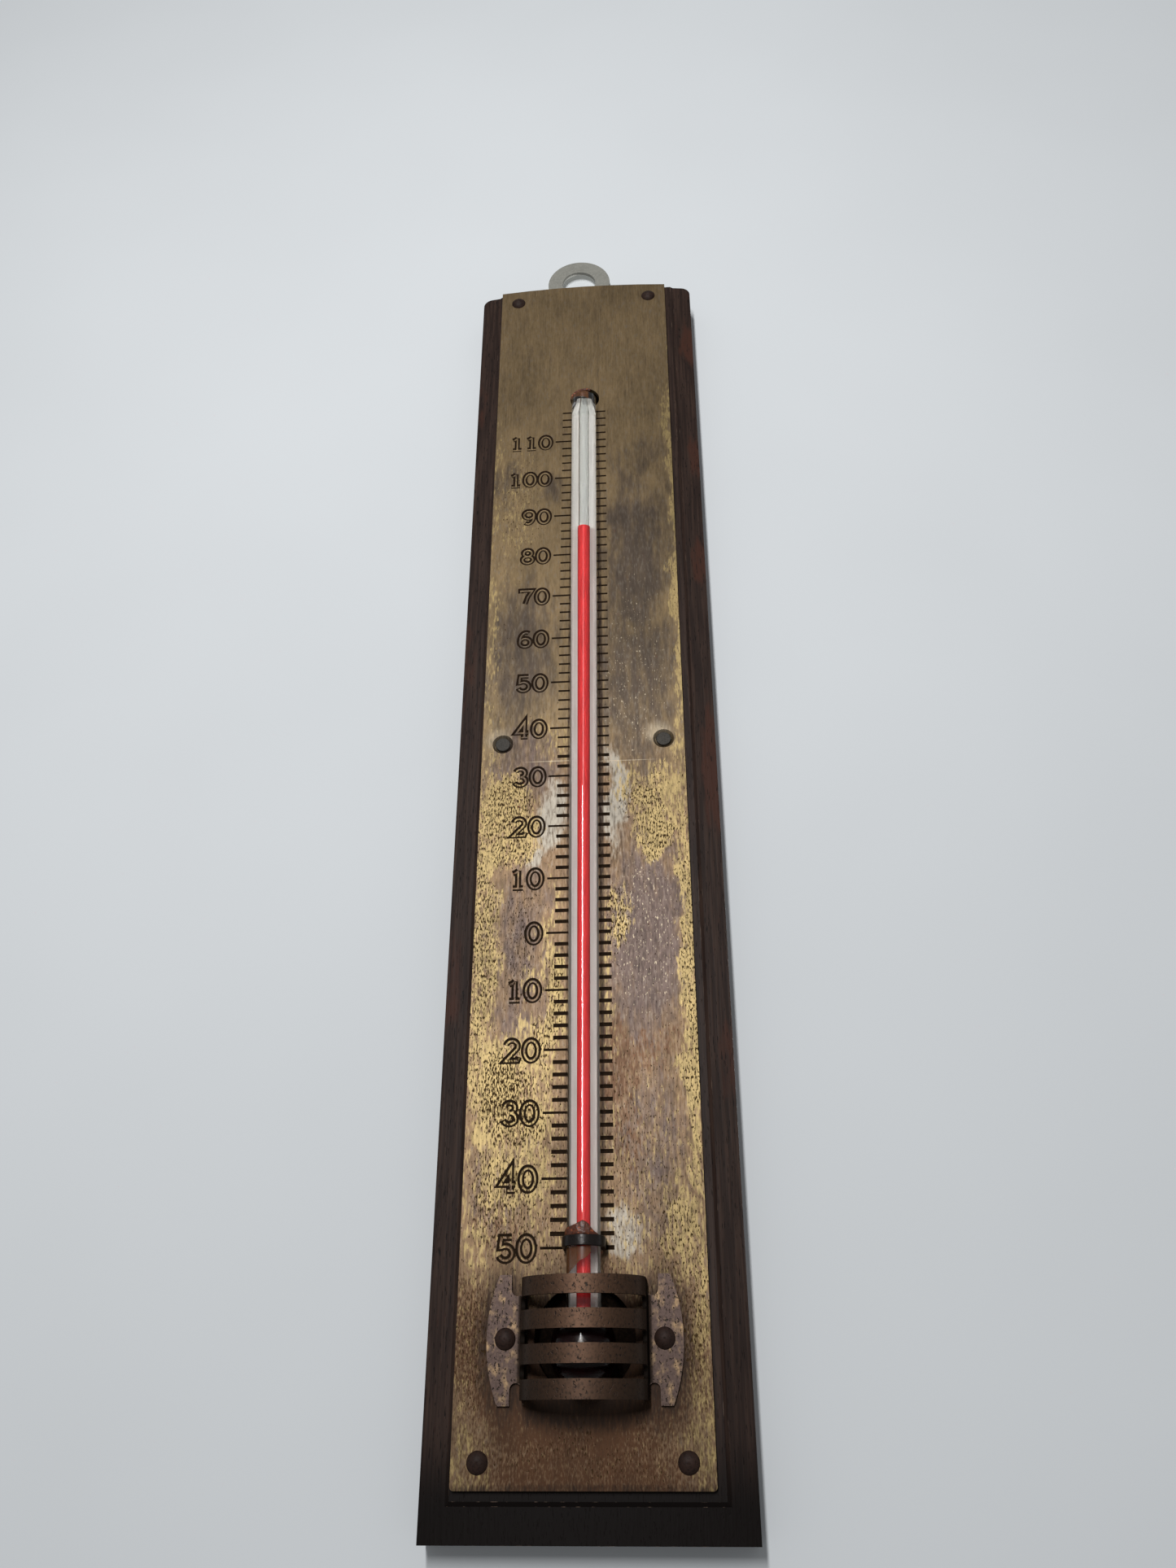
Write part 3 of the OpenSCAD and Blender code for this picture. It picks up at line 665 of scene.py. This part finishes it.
def white_enamel(name, white):
    """White enamel fused in the glass, with faint drawn streaks."""
    # It is opaque glass, so it backs the bore with an even white that has little shine.
    material, tree, shader, place = start_material(name, roughness=0.35)
    streak = speckle(tree, place, (0.3, 0.3, 14.0), 0.3, 0.75, 2.0)
    coat(tree, shader, layered(tree, colour(white), [(streak, shaded(white, 0.88))]))
    return material


def sealing_cement(name, base, pale):
    """Hard red-brown sealing cement, glossy on its skin, with orange mottles."""
    # It set from a paste, so its lumps each catch the light.
    material, tree, shader, place = start_material(name, roughness=0.34)
    lumps = speckle(tree, place, (0.8, 0.8, 0.8), 0.35, 0.7, 3.0)
    mottles = speckle(tree, place, (0.7, 0.7, 0.5), 0.54, 0.70, 2.0)
    paste = layered(tree, colour(base), [(lumps, shaded(base, 0.55)), (mottles, colour(pale))])
    coat(tree, shader, paste, (lumps, 0.5, 0.15, False))
    return material


def stained_glass(name, stain):
    """Thin brown film that the cement left on the glass."""
    # It is too thin to hide the tube, which shows through it darker and browner.
    material, _, shader, _ = start_material(name, roughness=0.3, alpha=0.5)
    shader.inputs["Base Color"].default_value = colour(stain)
    return material


# The stamped scale


def arc(x, y, across, up, start, end, steps=14):
    """Points along an elliptical arc about (x, y), from one angle to another in degrees."""
    turns = [math.radians(start + (end - start) * i / steps) for i in range(steps + 1)]
    return [(x + across * math.cos(t), y + up * math.sin(t)) for t in turns]


def digit_strokes(digit):
    """The strokes of a seriffed digit in a box 0.66 wide and 1 high."""
    ring = arc(0.33, 0.315, 0.25, 0.27, 0, 360, 24)
    six = [ring, arc(0.37, 0.40, 0.29, 0.55, 62, 190)]
    strokes = {
        "0": [arc(0.33, 0.5, 0.27, 0.455, 0, 360, 28)],
        "1": [
            [(0.36, 0.045), (0.36, 0.955)], [(0.36, 0.955), (0.26, 0.86), (0.13, 0.80)],
            [(0.14, 0.045), (0.58, 0.045)]
        ],
        "2": [arc(0.32, 0.70, 0.23, 0.255, 170, -25) + [(0.08, 0.05), (0.55, 0.05), (0.60, 0.22)]],
        "3": [arc(0.31, 0.74, 0.21, 0.215, 165, -90), arc(0.31, 0.285, 0.25, 0.24, 90, -165)],
        "4": [
            [(0.43, 0.045), (0.43, 0.955), (0.05, 0.30), (0.62, 0.30)], [(0.27, 0.045), (0.59, 0.045)]
        ],
        "5": [[(0.55, 0.94), (0.16, 0.94), (0.12, 0.54)] + arc(0.32, 0.32, 0.25, 0.275, 125, -160)],
        "6": six,
        "7": [[(0.06, 0.76), (0.06, 0.94), (0.60, 0.94), (0.40, 0.52), (0.27, 0.045)]],
        "8": [arc(0.33, 0.735, 0.20, 0.215, 0, 360, 24), arc(0.33, 0.285, 0.25, 0.24, 0, 360, 24)],
        "9": [[(0.66 - x, 1 - y) for x, y in stroke] for stroke in six],
    }
    return strokes[digit]


def groove(name, strokes, opening, floor, depth):
    """A solid along strokes on the plate's face, wide at the face and narrow at its floor."""
    nothing_selected()
    profile_data = bpy.data.curves.new(name + "_profile", "CURVE")
    profile_data.dimensions = "2D"
    outline = profile_data.splines.new("POLY")
    corners = [
        (opening / 2, depth), (opening / 2, 0.0), (floor / 2, -depth), (-floor / 2, -depth),
        (-opening / 2, 0.0), (-opening / 2, depth)
    ]
    outline.points.add(len(corners) - 1)
    for point, (x, y) in zip(outline.points, corners):
        point.co = (x, y, 0, 1)
    outline.use_cyclic_u = True
    profile = bpy.data.objects.new(name + "_profile", profile_data)
    bpy.context.scene.collection.objects.link(profile)
    data = bpy.data.curves.new(name, "CURVE")
    data.dimensions = "2D"
    data.fill_mode = "NONE"
    data.bevel_mode = "OBJECT"
    data.bevel_object = profile
    data.use_fill_caps = True
    for stroke in strokes:
        closed = len(stroke) > 3 and (Vector(stroke[0]) - Vector(stroke[-1])).length < 0.01 * MM
        points = stroke[:-1] if closed else stroke
        spline = data.splines.new("POLY")
        spline.points.add(len(points) - 1)
        for point, (x, y) in zip(spline.points, points):
            point.co = (x, y, 0, 1)
        spline.use_cyclic_u = closed
    piece = bpy.data.objects.new(name, data)
    bpy.context.scene.collection.objects.link(piece)
    activate(piece)
    bpy.ops.object.convert(target="MESH")
    bpy.data.objects.remove(profile)
    piece.rotation_euler = (math.radians(90), 0, 0)
    piece.location = (STEM_X, PLATE_LOW.y, PLATE_LOW.z)
    bpy.ops.object.transform_apply(location=True, rotation=True, scale=True)
    open_mesh(piece)
    bpy.ops.mesh.remove_doubles(threshold=MERGE)
    bpy.ops.mesh.normals_make_consistent(inside=False)
    close_mesh()
    return piece


def lean_at(s, degree):
    """How far the left marks at a degree are shifted towards the axis."""
    return s.lean * (degree - s.lowest) / (s.highest - s.lowest)


def short_strokes(s, first, last):
    """One short stroke for each mark right of the tube, and left of it for each mark between the tens."""
    strokes = []
    for degree in range(first, last + 1, s.step):
        up = s.zero_up + degree * s.degree
        strokes.append([(s.tick_in, up), (s.tick_right, up)])
        if degree % 10:
            strokes.append([(lean_at(s, degree) - s.tick_left, up), (-s.tick_in, up)])
    return strokes


def ten_strokes(s):
    """One longer stroke left of the tube for each of the tens."""
    tens = range(s.lowest, s.highest + 1, 10)
    ups = [s.zero_up + degree * s.degree for degree in tens]
    return [[(lean_at(s, ten) - s.tick_ten, up), (-s.tick_in, up)] for ten, up in zip(tens, ups)]


def numeral_strokes(s):
    """The strokes of the tens, which count up and down from zero."""
    strokes = []
    for degree in range(s.lowest, s.highest + 1, 10):
        text = str(abs(degree))
        foot = s.zero_up + degree * s.degree - s.numeral_h / 2
        right = lean_at(s, degree) - s.numeral_end
        for i, digit in enumerate(text):
            left = right - s.numeral_w - (len(text) - 1 - i) * s.numeral_pitch
            for stroke in digit_strokes(digit):
                strokes.append([(left + x / 0.66 * s.numeral_w, foot + y * s.numeral_h) for x, y in stroke])
    return strokes


# Operators


class THERMOMETER_OT_board(bpy.types.Operator):
    """Dress the wooden board"""
    bl_idname = "thermometer.board"
    bl_label = "Wooden Board"

    def execute(self, context):
        s = context.scene.thermometer.board
        piece = copy_of("backboard", "oak_board")
        give(piece, dark_oak(s, "dark_oak"), dark_oak(s, "rubbed_oak", worn=True), recess_wood("recess_wood"))
        # The rounded arrises take the rubbed oak, whose pale speckle is partly wear and partly painted glints.
        soften(piece, s.arris, angle=20, material=1)
        bulb_z, bulb_reach = (GUARD_LOW.z + GUARD_HIGH.z) / 2, 10.6 * MM
        tip_z, tip_reach = STEM_HIGH.z - 3.5 * MM, 5.0 * MM
        hanger_deep = 3.0 * MM  # the hanger's notch in the back ends before this depth
        # Faces in the bulb's and the tip's holes take the near-black recess material, as painted shade.
        for middle_z, reach in ((bulb_z, bulb_reach), (tip_z, tip_reach)):
            for face in piece.data.polygons:
                away = math.hypot(face.center.x - STEM_X, face.center.z - middle_z)
                if away < reach and face.center.y < CAD_BOX[1].y - hanger_deep:
                    face.material_index = 2
        smooth(piece)
        settle(piece, "board", "dark_oak", "backboard")
        return {"FINISHED"}


class THERMOMETER_OT_plate(bpy.types.Operator):
    """Stamp the scale into the brass plate"""
    bl_idname = "thermometer.plate"
    bl_label = "Brass Scale Plate"

    def execute(self, context):
        s = context.scene.thermometer.plate
        scale = context.scene.thermometer.scale
        piece = copy_of("scale_plate", "brass_plate")
        brass = aged_brass(s, "aged_brass")
        dirt = stamped_brass("stamped_dirt", tuple(s.stamp), 0.0, 0.8)
        give(piece, brass)
        soften(piece, s.edge)
        low = short_strokes(scale, scale.lowest, scale.thin_from - scale.step)
        high = short_strokes(scale, scale.thin_from, scale.highest)
        cuts = [
            ("low_ticks", low, scale.tick_w, scale.tick_floor, dirt),
            ("high_ticks", high, scale.tick_thin, scale.tick_floor, dirt),
            ("tens_ticks", ten_strokes(scale), scale.ten_w, scale.tick_floor, dirt),
            ("numerals", numeral_strokes(scale), scale.stroke_w, scale.stroke_floor, brass),
        ]
        for name, strokes, opening, floor_w, floor in cuts:
            cutter = groove(name, strokes, opening, floor_w, scale.depth)
            give(cutter, dirt, floor)
            for face in cutter.data.polygons:
                face.material_index = 1 if face.normal.y > 0.9 else 0
            apply_modifier(
                piece, "BOOLEAN", operation="DIFFERENCE", object=cutter, solver="EXACT", use_self=True,
                material_mode="TRANSFER"
            )
            bpy.data.objects.remove(cutter)
        if len(piece.data.polygons) < FEWEST_FACES:
            raise RuntimeError("the scale could not be stamped into the plate")
        smooth(piece)
        settle(piece, "board", "scale_brass", "scale_plate")
        return {"FINISHED"}


def lathe_bulb(name, radius, neck_r, low, neck_z, top_z, segments):
    """A bulb with its neck drawn up into a stem, open at the stem's top."""
    nothing_selected()
    middle_z = low + radius
    upper_z = neck_z - math.sqrt(radius ** 2 - neck_r ** 2)
    bpy.ops.mesh.primitive_uv_sphere_add(
        segments=segments, ring_count=segments // 2, radius=radius, location=(STEM_X, STEM_Y, middle_z)
    )
    piece = bpy.context.object
    piece.name = name
    bpy.ops.object.transform_apply(location=True, rotation=True, scale=True)
    open_mesh(piece)
    pick(piece, lambda v: v.co.z > middle_z - LEVEL)
    bpy.ops.transform.translate(value=(0, 0, upper_z - middle_z))
    bpy.ops.mesh.select_all(action="SELECT")
    bpy.ops.mesh.bisect(
        plane_co=(STEM_X, STEM_Y, neck_z), plane_no=(0, 0, 1), clear_outer=True, threshold=CUT
    )
    pick(piece, lambda v: abs(v.co.z - neck_z) < LEVEL)
    bpy.ops.mesh.extrude_region_move(TRANSFORM_OT_translate={"value": (0, 0, top_z - neck_z)})
    return piece


class THERMOMETER_OT_glass(bpy.types.Operator):
    """Draw the glass stem with its bulb, bore and bent top"""
    bl_idname = "thermometer.glass"
    bl_label = "Glass Tube"

    def execute(self, context):
        s = context.scene.thermometer.tube
        bend_z = STEM_HIGH.z - s.bend_r - STEM_R
        bore_end = bend_z - 0.4 * MM
        outer = lathe_bulb("glass_tube", BULB_R, STEM_R, BULB_LOW.z, BULB_HIGH.z, bend_z, 64)
        pick(outer, lambda v: abs(v.co.z - bend_z) < LEVEL)
        bpy.ops.mesh.spin(
            steps=16, angle=math.radians(-90), center=(STEM_X, STEM_Y + s.bend_r, bend_z), axis=(1, 0, 0)
        )
        bpy.ops.mesh.extrude_region_move(
            TRANSFORM_OT_translate={"value": (0, STEM_HIGH.y - STEM_Y - s.bend_r, 0)}
        )
        bpy.ops.mesh.edge_face_add()
        bpy.ops.mesh.select_all(action="SELECT")
        bpy.ops.mesh.normals_make_consistent(inside=False)
        close_mesh()
        inner = lathe_bulb(
            "bore", BULB_R - s.wall, s.bore_r, BULB_LOW.z + s.wall, BULB_HIGH.z, bore_end, 32
        )
        pick(inner, lambda v: abs(v.co.z - bore_end) < LEVEL)
        bpy.ops.mesh.edge_face_add()
        bpy.ops.mesh.select_all(action="SELECT")
        bpy.ops.mesh.normals_make_consistent(inside=True)
        close_mesh()
        # The bulb behind its guard gets dark, weakly reflecting glass, as painted shade for the guard's shadow
        # on it.
        give(
            outer,
            clear_glass("soda_glass", (0.95, 0.96, 0.95), roughness=0.02, ior=1.5, passed=0.62),
            clear_glass("sooty_glass", (0.6, 0.58, 0.55), roughness=0.04, ior=1.18, passed=0.5)
        )
        for face in outer.data.polygons:
            face.material_index = 1 if face.center.z < BULB_HIGH.z else 0
        # The bore is wet with spirit that drained down it, so its wall bends light less than dry glass would.
        give(inner, clear_glass("bore_glass", (0.84, 0.87, 0.87), roughness=0.3, ior=1.15, passed=0.97))
        smooth(joined(outer, inner))
        settle(outer, "board", "stem_glass", "glass_stem", "glass_bulb")
        return {"FINISHED"}


class THERMOMETER_OT_spirit(bpy.types.Operator):
    """Fill the bore and the bulb with red spirit"""
    bl_idname = "thermometer.spirit"
    bl_label = "Red Spirit"

    def execute(self, context):
        s = context.scene.thermometer.tube
        radius = s.bore_r + s.wetting
        nothing_selected()
        bpy.ops.mesh.primitive_cylinder_add(
            vertices=48, radius=radius, depth=SPIRIT_HIGH.z - SPIRIT_LOW.z,
            location=(STEM_X, STEM_Y, (SPIRIT_HIGH.z + SPIRIT_LOW.z) / 2)
        )
        column = bpy.context.object
        column.name = "red_column"
        bpy.ops.object.transform_apply(location=True, rotation=True, scale=True)
        meniscus = 0.25 * MM
        open_mesh(column, "DESELECT", "FACE")
        pick(column, lambda f: f.normal.z > 0.9, "polygons")
        bpy.ops.mesh.inset(thickness=radius * 0.45)
        bpy.ops.transform.translate(value=(0, 0, -meniscus * 0.7))
        bpy.ops.mesh.inset(thickness=radius * 0.35)
        bpy.ops.transform.translate(value=(0, 0, -meniscus * 0.3))
        close_mesh()
        smooth(column, 50)
        give(column, liquid("red_spirit", s.spirit))
        settle(column, None, "red_spirit", "spirit_column")
        column.visible_shadow = False
        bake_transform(column)
        inset, fill_top = s.wall - s.wetting, BULB_HIGH.z + 0.2 * MM
        fill = lathe_bulb(
            "bulb_fill", BULB_R - inset, radius, BULB_LOW.z + inset, BULB_HIGH.z, fill_top, 32
        )
        pick(fill, lambda v: v.co.z > (BULB_HIGH.z + fill_top) / 2)
        bpy.ops.mesh.edge_face_add()
        close_mesh()
        smooth(fill)
        # The bulb's spirit is much darker than the column's: partly its thick layer, partly painted shade under
        # the guard.
        give(fill, liquid("deep_spirit", s.deep_spirit))
        settle(fill, "board", "red_spirit", "bulb_spirit")
        # The enamel strip is shown as the solid that it is, with a new material.
        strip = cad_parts["enamel_strip"]
        strip.data.materials.clear()
        give(strip, white_enamel("white_enamel", s.enamel))
        return {"FINISHED"}


class THERMOMETER_OT_guard(bpy.types.Operator):
    """Dress the slotted bulb guard"""
    bl_idname = "thermometer.guard"
    bl_label = "Bulb Guard"

    def execute(self, context):
        s = context.scene.thermometer.fittings
        piece = copy_of("bulb_guard", "slotted_guard")
        give(
            piece, tarnished_guard(s, "guard_brass"),
            worn_metal("rubbed_guard", s.guard_worn, s.guard, 0.6, 0.85, 0.4)
        )
        # The rounded edges take the pale rubbed material, partly wear and partly painted highlight.
        soften(piece, 0.28 * MM, angle=35, material=1)
        # Painted shade: a near-black material for the inside of the arch, the walls' feet and the ears' sides
        give(piece, stamped_brass("guard_inside", toned(s.guard, 0.3), 0.3, 0.7))
        # Half widths of the rubbed crown, where the upward front edges stay pale as wear and painted highlight,
        # the walls' inner and outer faces and the bends into the ears
        crown, wall_in, arch_in, wall_out, bend = (mm * MM for mm in (10.0, 11.4, 12.6, 12.9, 13.2))
        # How far out the guard's sheet reaches where it lies on the plate, and how far out its walls get the
        # dark material as painted shade
        sheet, shaded_wall_reach = PLATE_LOW.y - 0.8 * MM, PLATE_LOW.y - 4.0 * MM
        for face in piece.data.polygons:
            aside = abs(face.center.x - STEM_X)
            inward = Vector((STEM_X - face.center.x, PLATE_LOW.y - face.center.y, 0)).dot(face.normal)
            inside = inward > 0 and aside < arch_in and face.center.y < sheet
            foot = wall_in < aside < wall_out and face.center.y > shaded_wall_reach
            ear_side = aside > wall_out and abs(face.normal.y) < 0.6
            under = face.normal.z < 0.1 and aside < crown
            # Painted shade on faces inside the arch, at the walls' feet and on the ears' sides
            if inside or foot or ear_side:
                face.material_index = 2
            elif crown < aside < bend or face.normal.y > -0.2 or under:
                face.material_index = 0
        smooth(piece)
        settle(piece, "board", "guard_brass", "bulb_guard")
        return {"FINISHED"}


class THERMOMETER_OT_fasteners(bpy.types.Operator):
    """Dress the pins, nails, strap, hanger and screw"""
    bl_idname = "thermometer.fasteners"
    bl_label = "Pins, Nails, Strap and Hanger"

    def execute(self, context):
        s = context.scene.thermometer.fittings
        copper = worn_metal("oxide_pin", s.copper, toned(s.copper, 0.5), 0.5, 0.1, 0.6, shine=0.2)
        steel = worn_metal("dull_steel", s.steel, toned(s.steel, 0.5), 0.4, 0.5, 0.6)
        iron = worn_metal("black_iron", s.iron, toned(s.iron, 0.5), 0.5, 0.3, 0.3)
        zinc = worn_metal("galvanised_sheet", s.zinc, toned(s.zinc, 1.12), 0.6, 0.35, 0.62, dim=0.88)
        for node, name, body, slot, material, round_w in (
            ("plate_pins", "plate_pin_heads", "board", "copper_pin", copper, 0.1),
            ("guard_pins", "guard_pin_heads", "board", "copper_pin", copper, 0.1),
            ("middle_nails", "steel_nails", "board", "nail_steel", steel, 0.08),
            ("tube_strap", "iron_strap", "board", "strap_iron", iron, 0.15),
            ("hanger_ring", "hanging_ring", "hanger", "zinc_steel", zinc, 0.2),
            ("hanger_screw", "ring_screw", "board", "nail_steel", steel, 0.1),
        ):
            piece = copy_of(node, name)
            soften(piece, round_w * MM, angle=35)
            smooth(piece, 35)
            give(piece, material)
            settle(piece, body, slot, node)
        return {"FINISHED"}


def turn_of(point):
    """Where a point lies round the tube, in degrees: 180 is left and 270 is the front."""
    return math.degrees(math.atan2(point.y - STEM_Y, point.x - STEM_X)) % 360


def smear(name, outline, level, radius, thick):
    """A smear round the tube: a rounded sheet between a level edge and an outline of (turn, height in mm)."""
    nothing_selected()
    bpy.ops.mesh.primitive_cylinder_add(
        vertices=60, radius=radius, depth=MM, end_fill_type="NOTHING",
        location=(STEM_X, STEM_Y, level + MM / 2)
    )
    piece = bpy.context.object
    piece.name = name
    bpy.ops.object.transform_apply(location=True, rotation=True, scale=True)
    open_mesh(piece, "DESELECT", "FACE")
    pick(piece, lambda f: not outline[0][0] < turn_of(f.center) < outline[-1][0], "polygons")
    bpy.ops.mesh.delete(type="FACE")
    bpy.ops.mesh.select_mode(type="VERT")
    close_mesh()
    upper = [(v.index, turn_of(v.co)) for v in piece.data.vertices if v.co.z > level + MM / 2]
    open_mesh(piece, "DESELECT")
    for index, turn in upper:
        steps = [pair for pair in zip(outline, outline[1:]) if pair[0][0] <= turn + 0.01]
        (start, low), (end, high) = steps[-1] if steps else (outline[0], outline[1])
        height = low + (high - low) * min(1.0, max(0.0, (turn - start) / (end - start)))
        pick(piece, lambda v: v.index == index)
        bpy.ops.transform.translate(value=(0, 0, (height - 1) * MM))
    close_mesh()
    apply_modifier(piece, "SOLIDIFY", thickness=thick, offset=1.0)
    apply_modifier(piece, "SUBSURF", levels=2, render_levels=2)
    smooth(piece, 80)
    return piece


class THERMOMETER_OT_cement(bpy.types.Operator):
    """Smear the cement at the strap and at the tube's end, and its stain on the glass"""
    bl_idname = "thermometer.cement"
    bl_label = "Sealing Cement"

    def execute(self, context):
        s = context.scene.thermometer.fittings
        paste = sealing_cement("sealing_cement", s.cement, s.cement_pale)
        stain = stained_glass("cement_stain", s.stain)
        on_glass, stain_t = STEM_R + 0.02 * MM, 0.03 * MM
        lump = smear("strap_cement_smear", (
            (166, 0.5), (182, 1.4), (205, 1.7), (235, 2.0), (256, 2.5), (272, 3.0), (288, 2.4), (302, 1.2),
            (316, 0.6), (330, 0.25)), STRAP_HIGH.z - 0.1 * MM, on_glass, 0.4 * MM)
        give(lump, paste)
        run = smear("strap_stain", (
            (160, -2.0), (185, -5.0), (215, -5.4), (240, -4.4), (262, -3.0), (285, -2.4), (300, -1.2)),
            STRAP_LOW.z + 0.1 * MM, on_glass, stain_t)
        give(run, stain)
        settle(joined(lump, run), "board", "brown_cement", "strap_cement")

        crust = copy_of("tip_cement", "tip_cement_smear")
        soften(crust, 0.15 * MM, angle=35)
        smooth(crust, 60)
        give(crust, paste)
        nothing_selected()
        tip = bpy.data.objects.new("tip_stain", bpy.data.objects["glass_tube"].data.copy())
        context.scene.collection.objects.link(tip)
        tip.data.materials.clear()
        open_mesh(tip)
        # The stain ends in a slanting line below the bend, right of the tube's middle and at the plate.
        low_z = STEM_HIGH.z - 9.5 * MM
        for point, facing, side in (
            ((STEM_X, STEM_Y, low_z), (0.35, 0, 1), "clear_inner"),
            ((STEM_X + 1.6 * MM, STEM_Y, low_z), (1, 0, 0), "clear_outer"),
            ((STEM_X, PLATE_LOW.y - 0.1 * MM, 0), (0, 1, 0), "clear_outer"),
        ):
            bpy.ops.mesh.select_all(action="SELECT")
            bpy.ops.mesh.bisect(plane_co=point, plane_no=facing, threshold=CUT, **{side: True})
        bpy.ops.mesh.select_mode(type="FACE")
        pick(tip, lambda f: math.hypot(f.center.x - STEM_X, f.center.y - STEM_Y) < 0.5 * STEM_R
             and f.center.z < STEM_HIGH.z - 2 * STEM_R, "polygons")
        bpy.ops.mesh.delete(type="FACE")
        bpy.ops.mesh.select_all(action="SELECT")
        bpy.ops.transform.shrink_fatten(value=stain_t)
        close_mesh()
        give(tip, stain)
        smooth(tip, 80)
        settle(joined(crust, tip), "board", "brown_cement", "tip_cement")
        return {"FINISHED"}


class THERMOMETER_OT_stage(bpy.types.Operator):
    """Set up the backdrop, the lamps and the camera"""
    bl_idname = "thermometer.stage"
    bl_label = "Stage"

    def execute(self, context):
        s = context.scene.thermometer.stage
        scene = context.scene
        nothing_selected()
        bpy.ops.mesh.primitive_plane_add(
            size=3.0, location=(0, CAD_BOX[1].y + 0.2 * MM, 0), rotation=(math.radians(90), 0, 0)
        )
        backdrop = context.object
        backdrop.name = "backdrop"
        # Matt board scatters light evenly, so it looks pale all over and has no highlight.
        material, tree, shader, place = start_material("pale_sheet", roughness=0.9)
        mottle = speckle(tree, place, (90.0, 90.0, 90.0), 0.2, 0.8, 2.0)
        coat(tree, shader, layered(tree, colour(s.backdrop), [(mottle, shaded(s.backdrop, 0.97))]))
        # The sheet is clear from behind and to stray light, so that the board's back can be seen and lit.
        path = add_node(tree, "ShaderNodeLightPath").outputs
        shown = 0.0
        for ray in ("Is Camera Ray", "Is Glossy Ray", "Is Transmission Ray"):
            shown = add_node(tree, "ShaderNodeMath", {0: shown, 1: path[ray]}, operation="MAXIMUM").outputs[0]
        behind = add_node(tree, "ShaderNodeNewGeometry").outputs["Backfacing"]
        shown = add_node(tree, "ShaderNodeMath", {0: shown, 1: behind}, operation="SUBTRACT", use_clamp=True)
        clear = add_node(tree, "ShaderNodeBsdfTransparent").outputs[0]
        mix = add_node(tree, "ShaderNodeMixShader", {0: shown.outputs[0], 1: clear, 2: shader.outputs[0]})
        tree.links.new(mix.outputs[0], tree.nodes["Material Output"].inputs["Surface"])
        give(backdrop, material)

        for name, spot, power in (("key_lamp", s.lamp_at, s.key_power), ("back_lamp", s.back_at, s.back_power)):
            nothing_selected()
            bpy.ops.object.light_add(type="AREA", location=spot)
            lamp = context.object
            lamp.name = name
            lamp.data.energy = power
            lamp.data.shape = "RECTANGLE"
            lamp.data.size = s.lamp_w
            lamp.data.size_y = s.lamp_l
            lamp.rotation_euler = (Vector((0, 0, spot[2])) - lamp.location).to_track_quat("-Z", "Y").to_euler()

        world = scene.world or bpy.data.worlds.new("room")
        scene.world = world
        world.use_nodes = True
        sky = world.node_tree.nodes["Background"]
        sky.inputs["Color"].default_value = (0.97, 0.985, 1.0, 1.0)
        sky.inputs["Strength"].default_value = s.sky

        bpy.ops.object.camera_add(location=s.camera_at, rotation=s.camera_turn)
        camera = context.object
        camera.name = "photo_camera"
        camera.data.lens = s.lens
        camera.data.sensor_width = 36.0
        camera.data.clip_start = 0.01
        scene.camera = camera
        scene.view_settings.view_transform = "Standard"
        return {"FINISHED"}


STEPS = (
    THERMOMETER_OT_stage, THERMOMETER_OT_board, THERMOMETER_OT_plate, THERMOMETER_OT_glass,
    THERMOMETER_OT_spirit, THERMOMETER_OT_guard, THERMOMETER_OT_fasteners, THERMOMETER_OT_cement,
)


class THERMOMETER_PT_panel(bpy.types.Panel):
    """Lists the steps that dress the thermometer"""
    bl_idname = "THERMOMETER_PT_panel"
    bl_label = "Thermometer"
    bl_space_type = "VIEW_3D"
    bl_region_type = "UI"
    bl_category = "Thermometer"

    def draw(self, context):
        for step in STEPS:
            self.layout.operator(step.bl_idname)


CLASSES = (
    BoardSettings, PlateSettings, ScaleSettings, TubeSettings, FittingSettings, StageSettings,
    ThermometerSettings, *STEPS, THERMOMETER_PT_panel,
)


def register():
    for cls in CLASSES:
        bpy.utils.register_class(cls)
    bpy.types.Scene.thermometer = PointerProperty(type=ThermometerSettings)


def unregister():
    del bpy.types.Scene.thermometer
    for cls in reversed(CLASSES):
        bpy.utils.unregister_class(cls)


def main():
    """Dresses the thermometer step by step."""
    register()
    for step in STEPS:
        group, name = step.bl_idname.split(".")
        getattr(getattr(bpy.ops, group), name)()


if __name__ == "__main__":
    main()
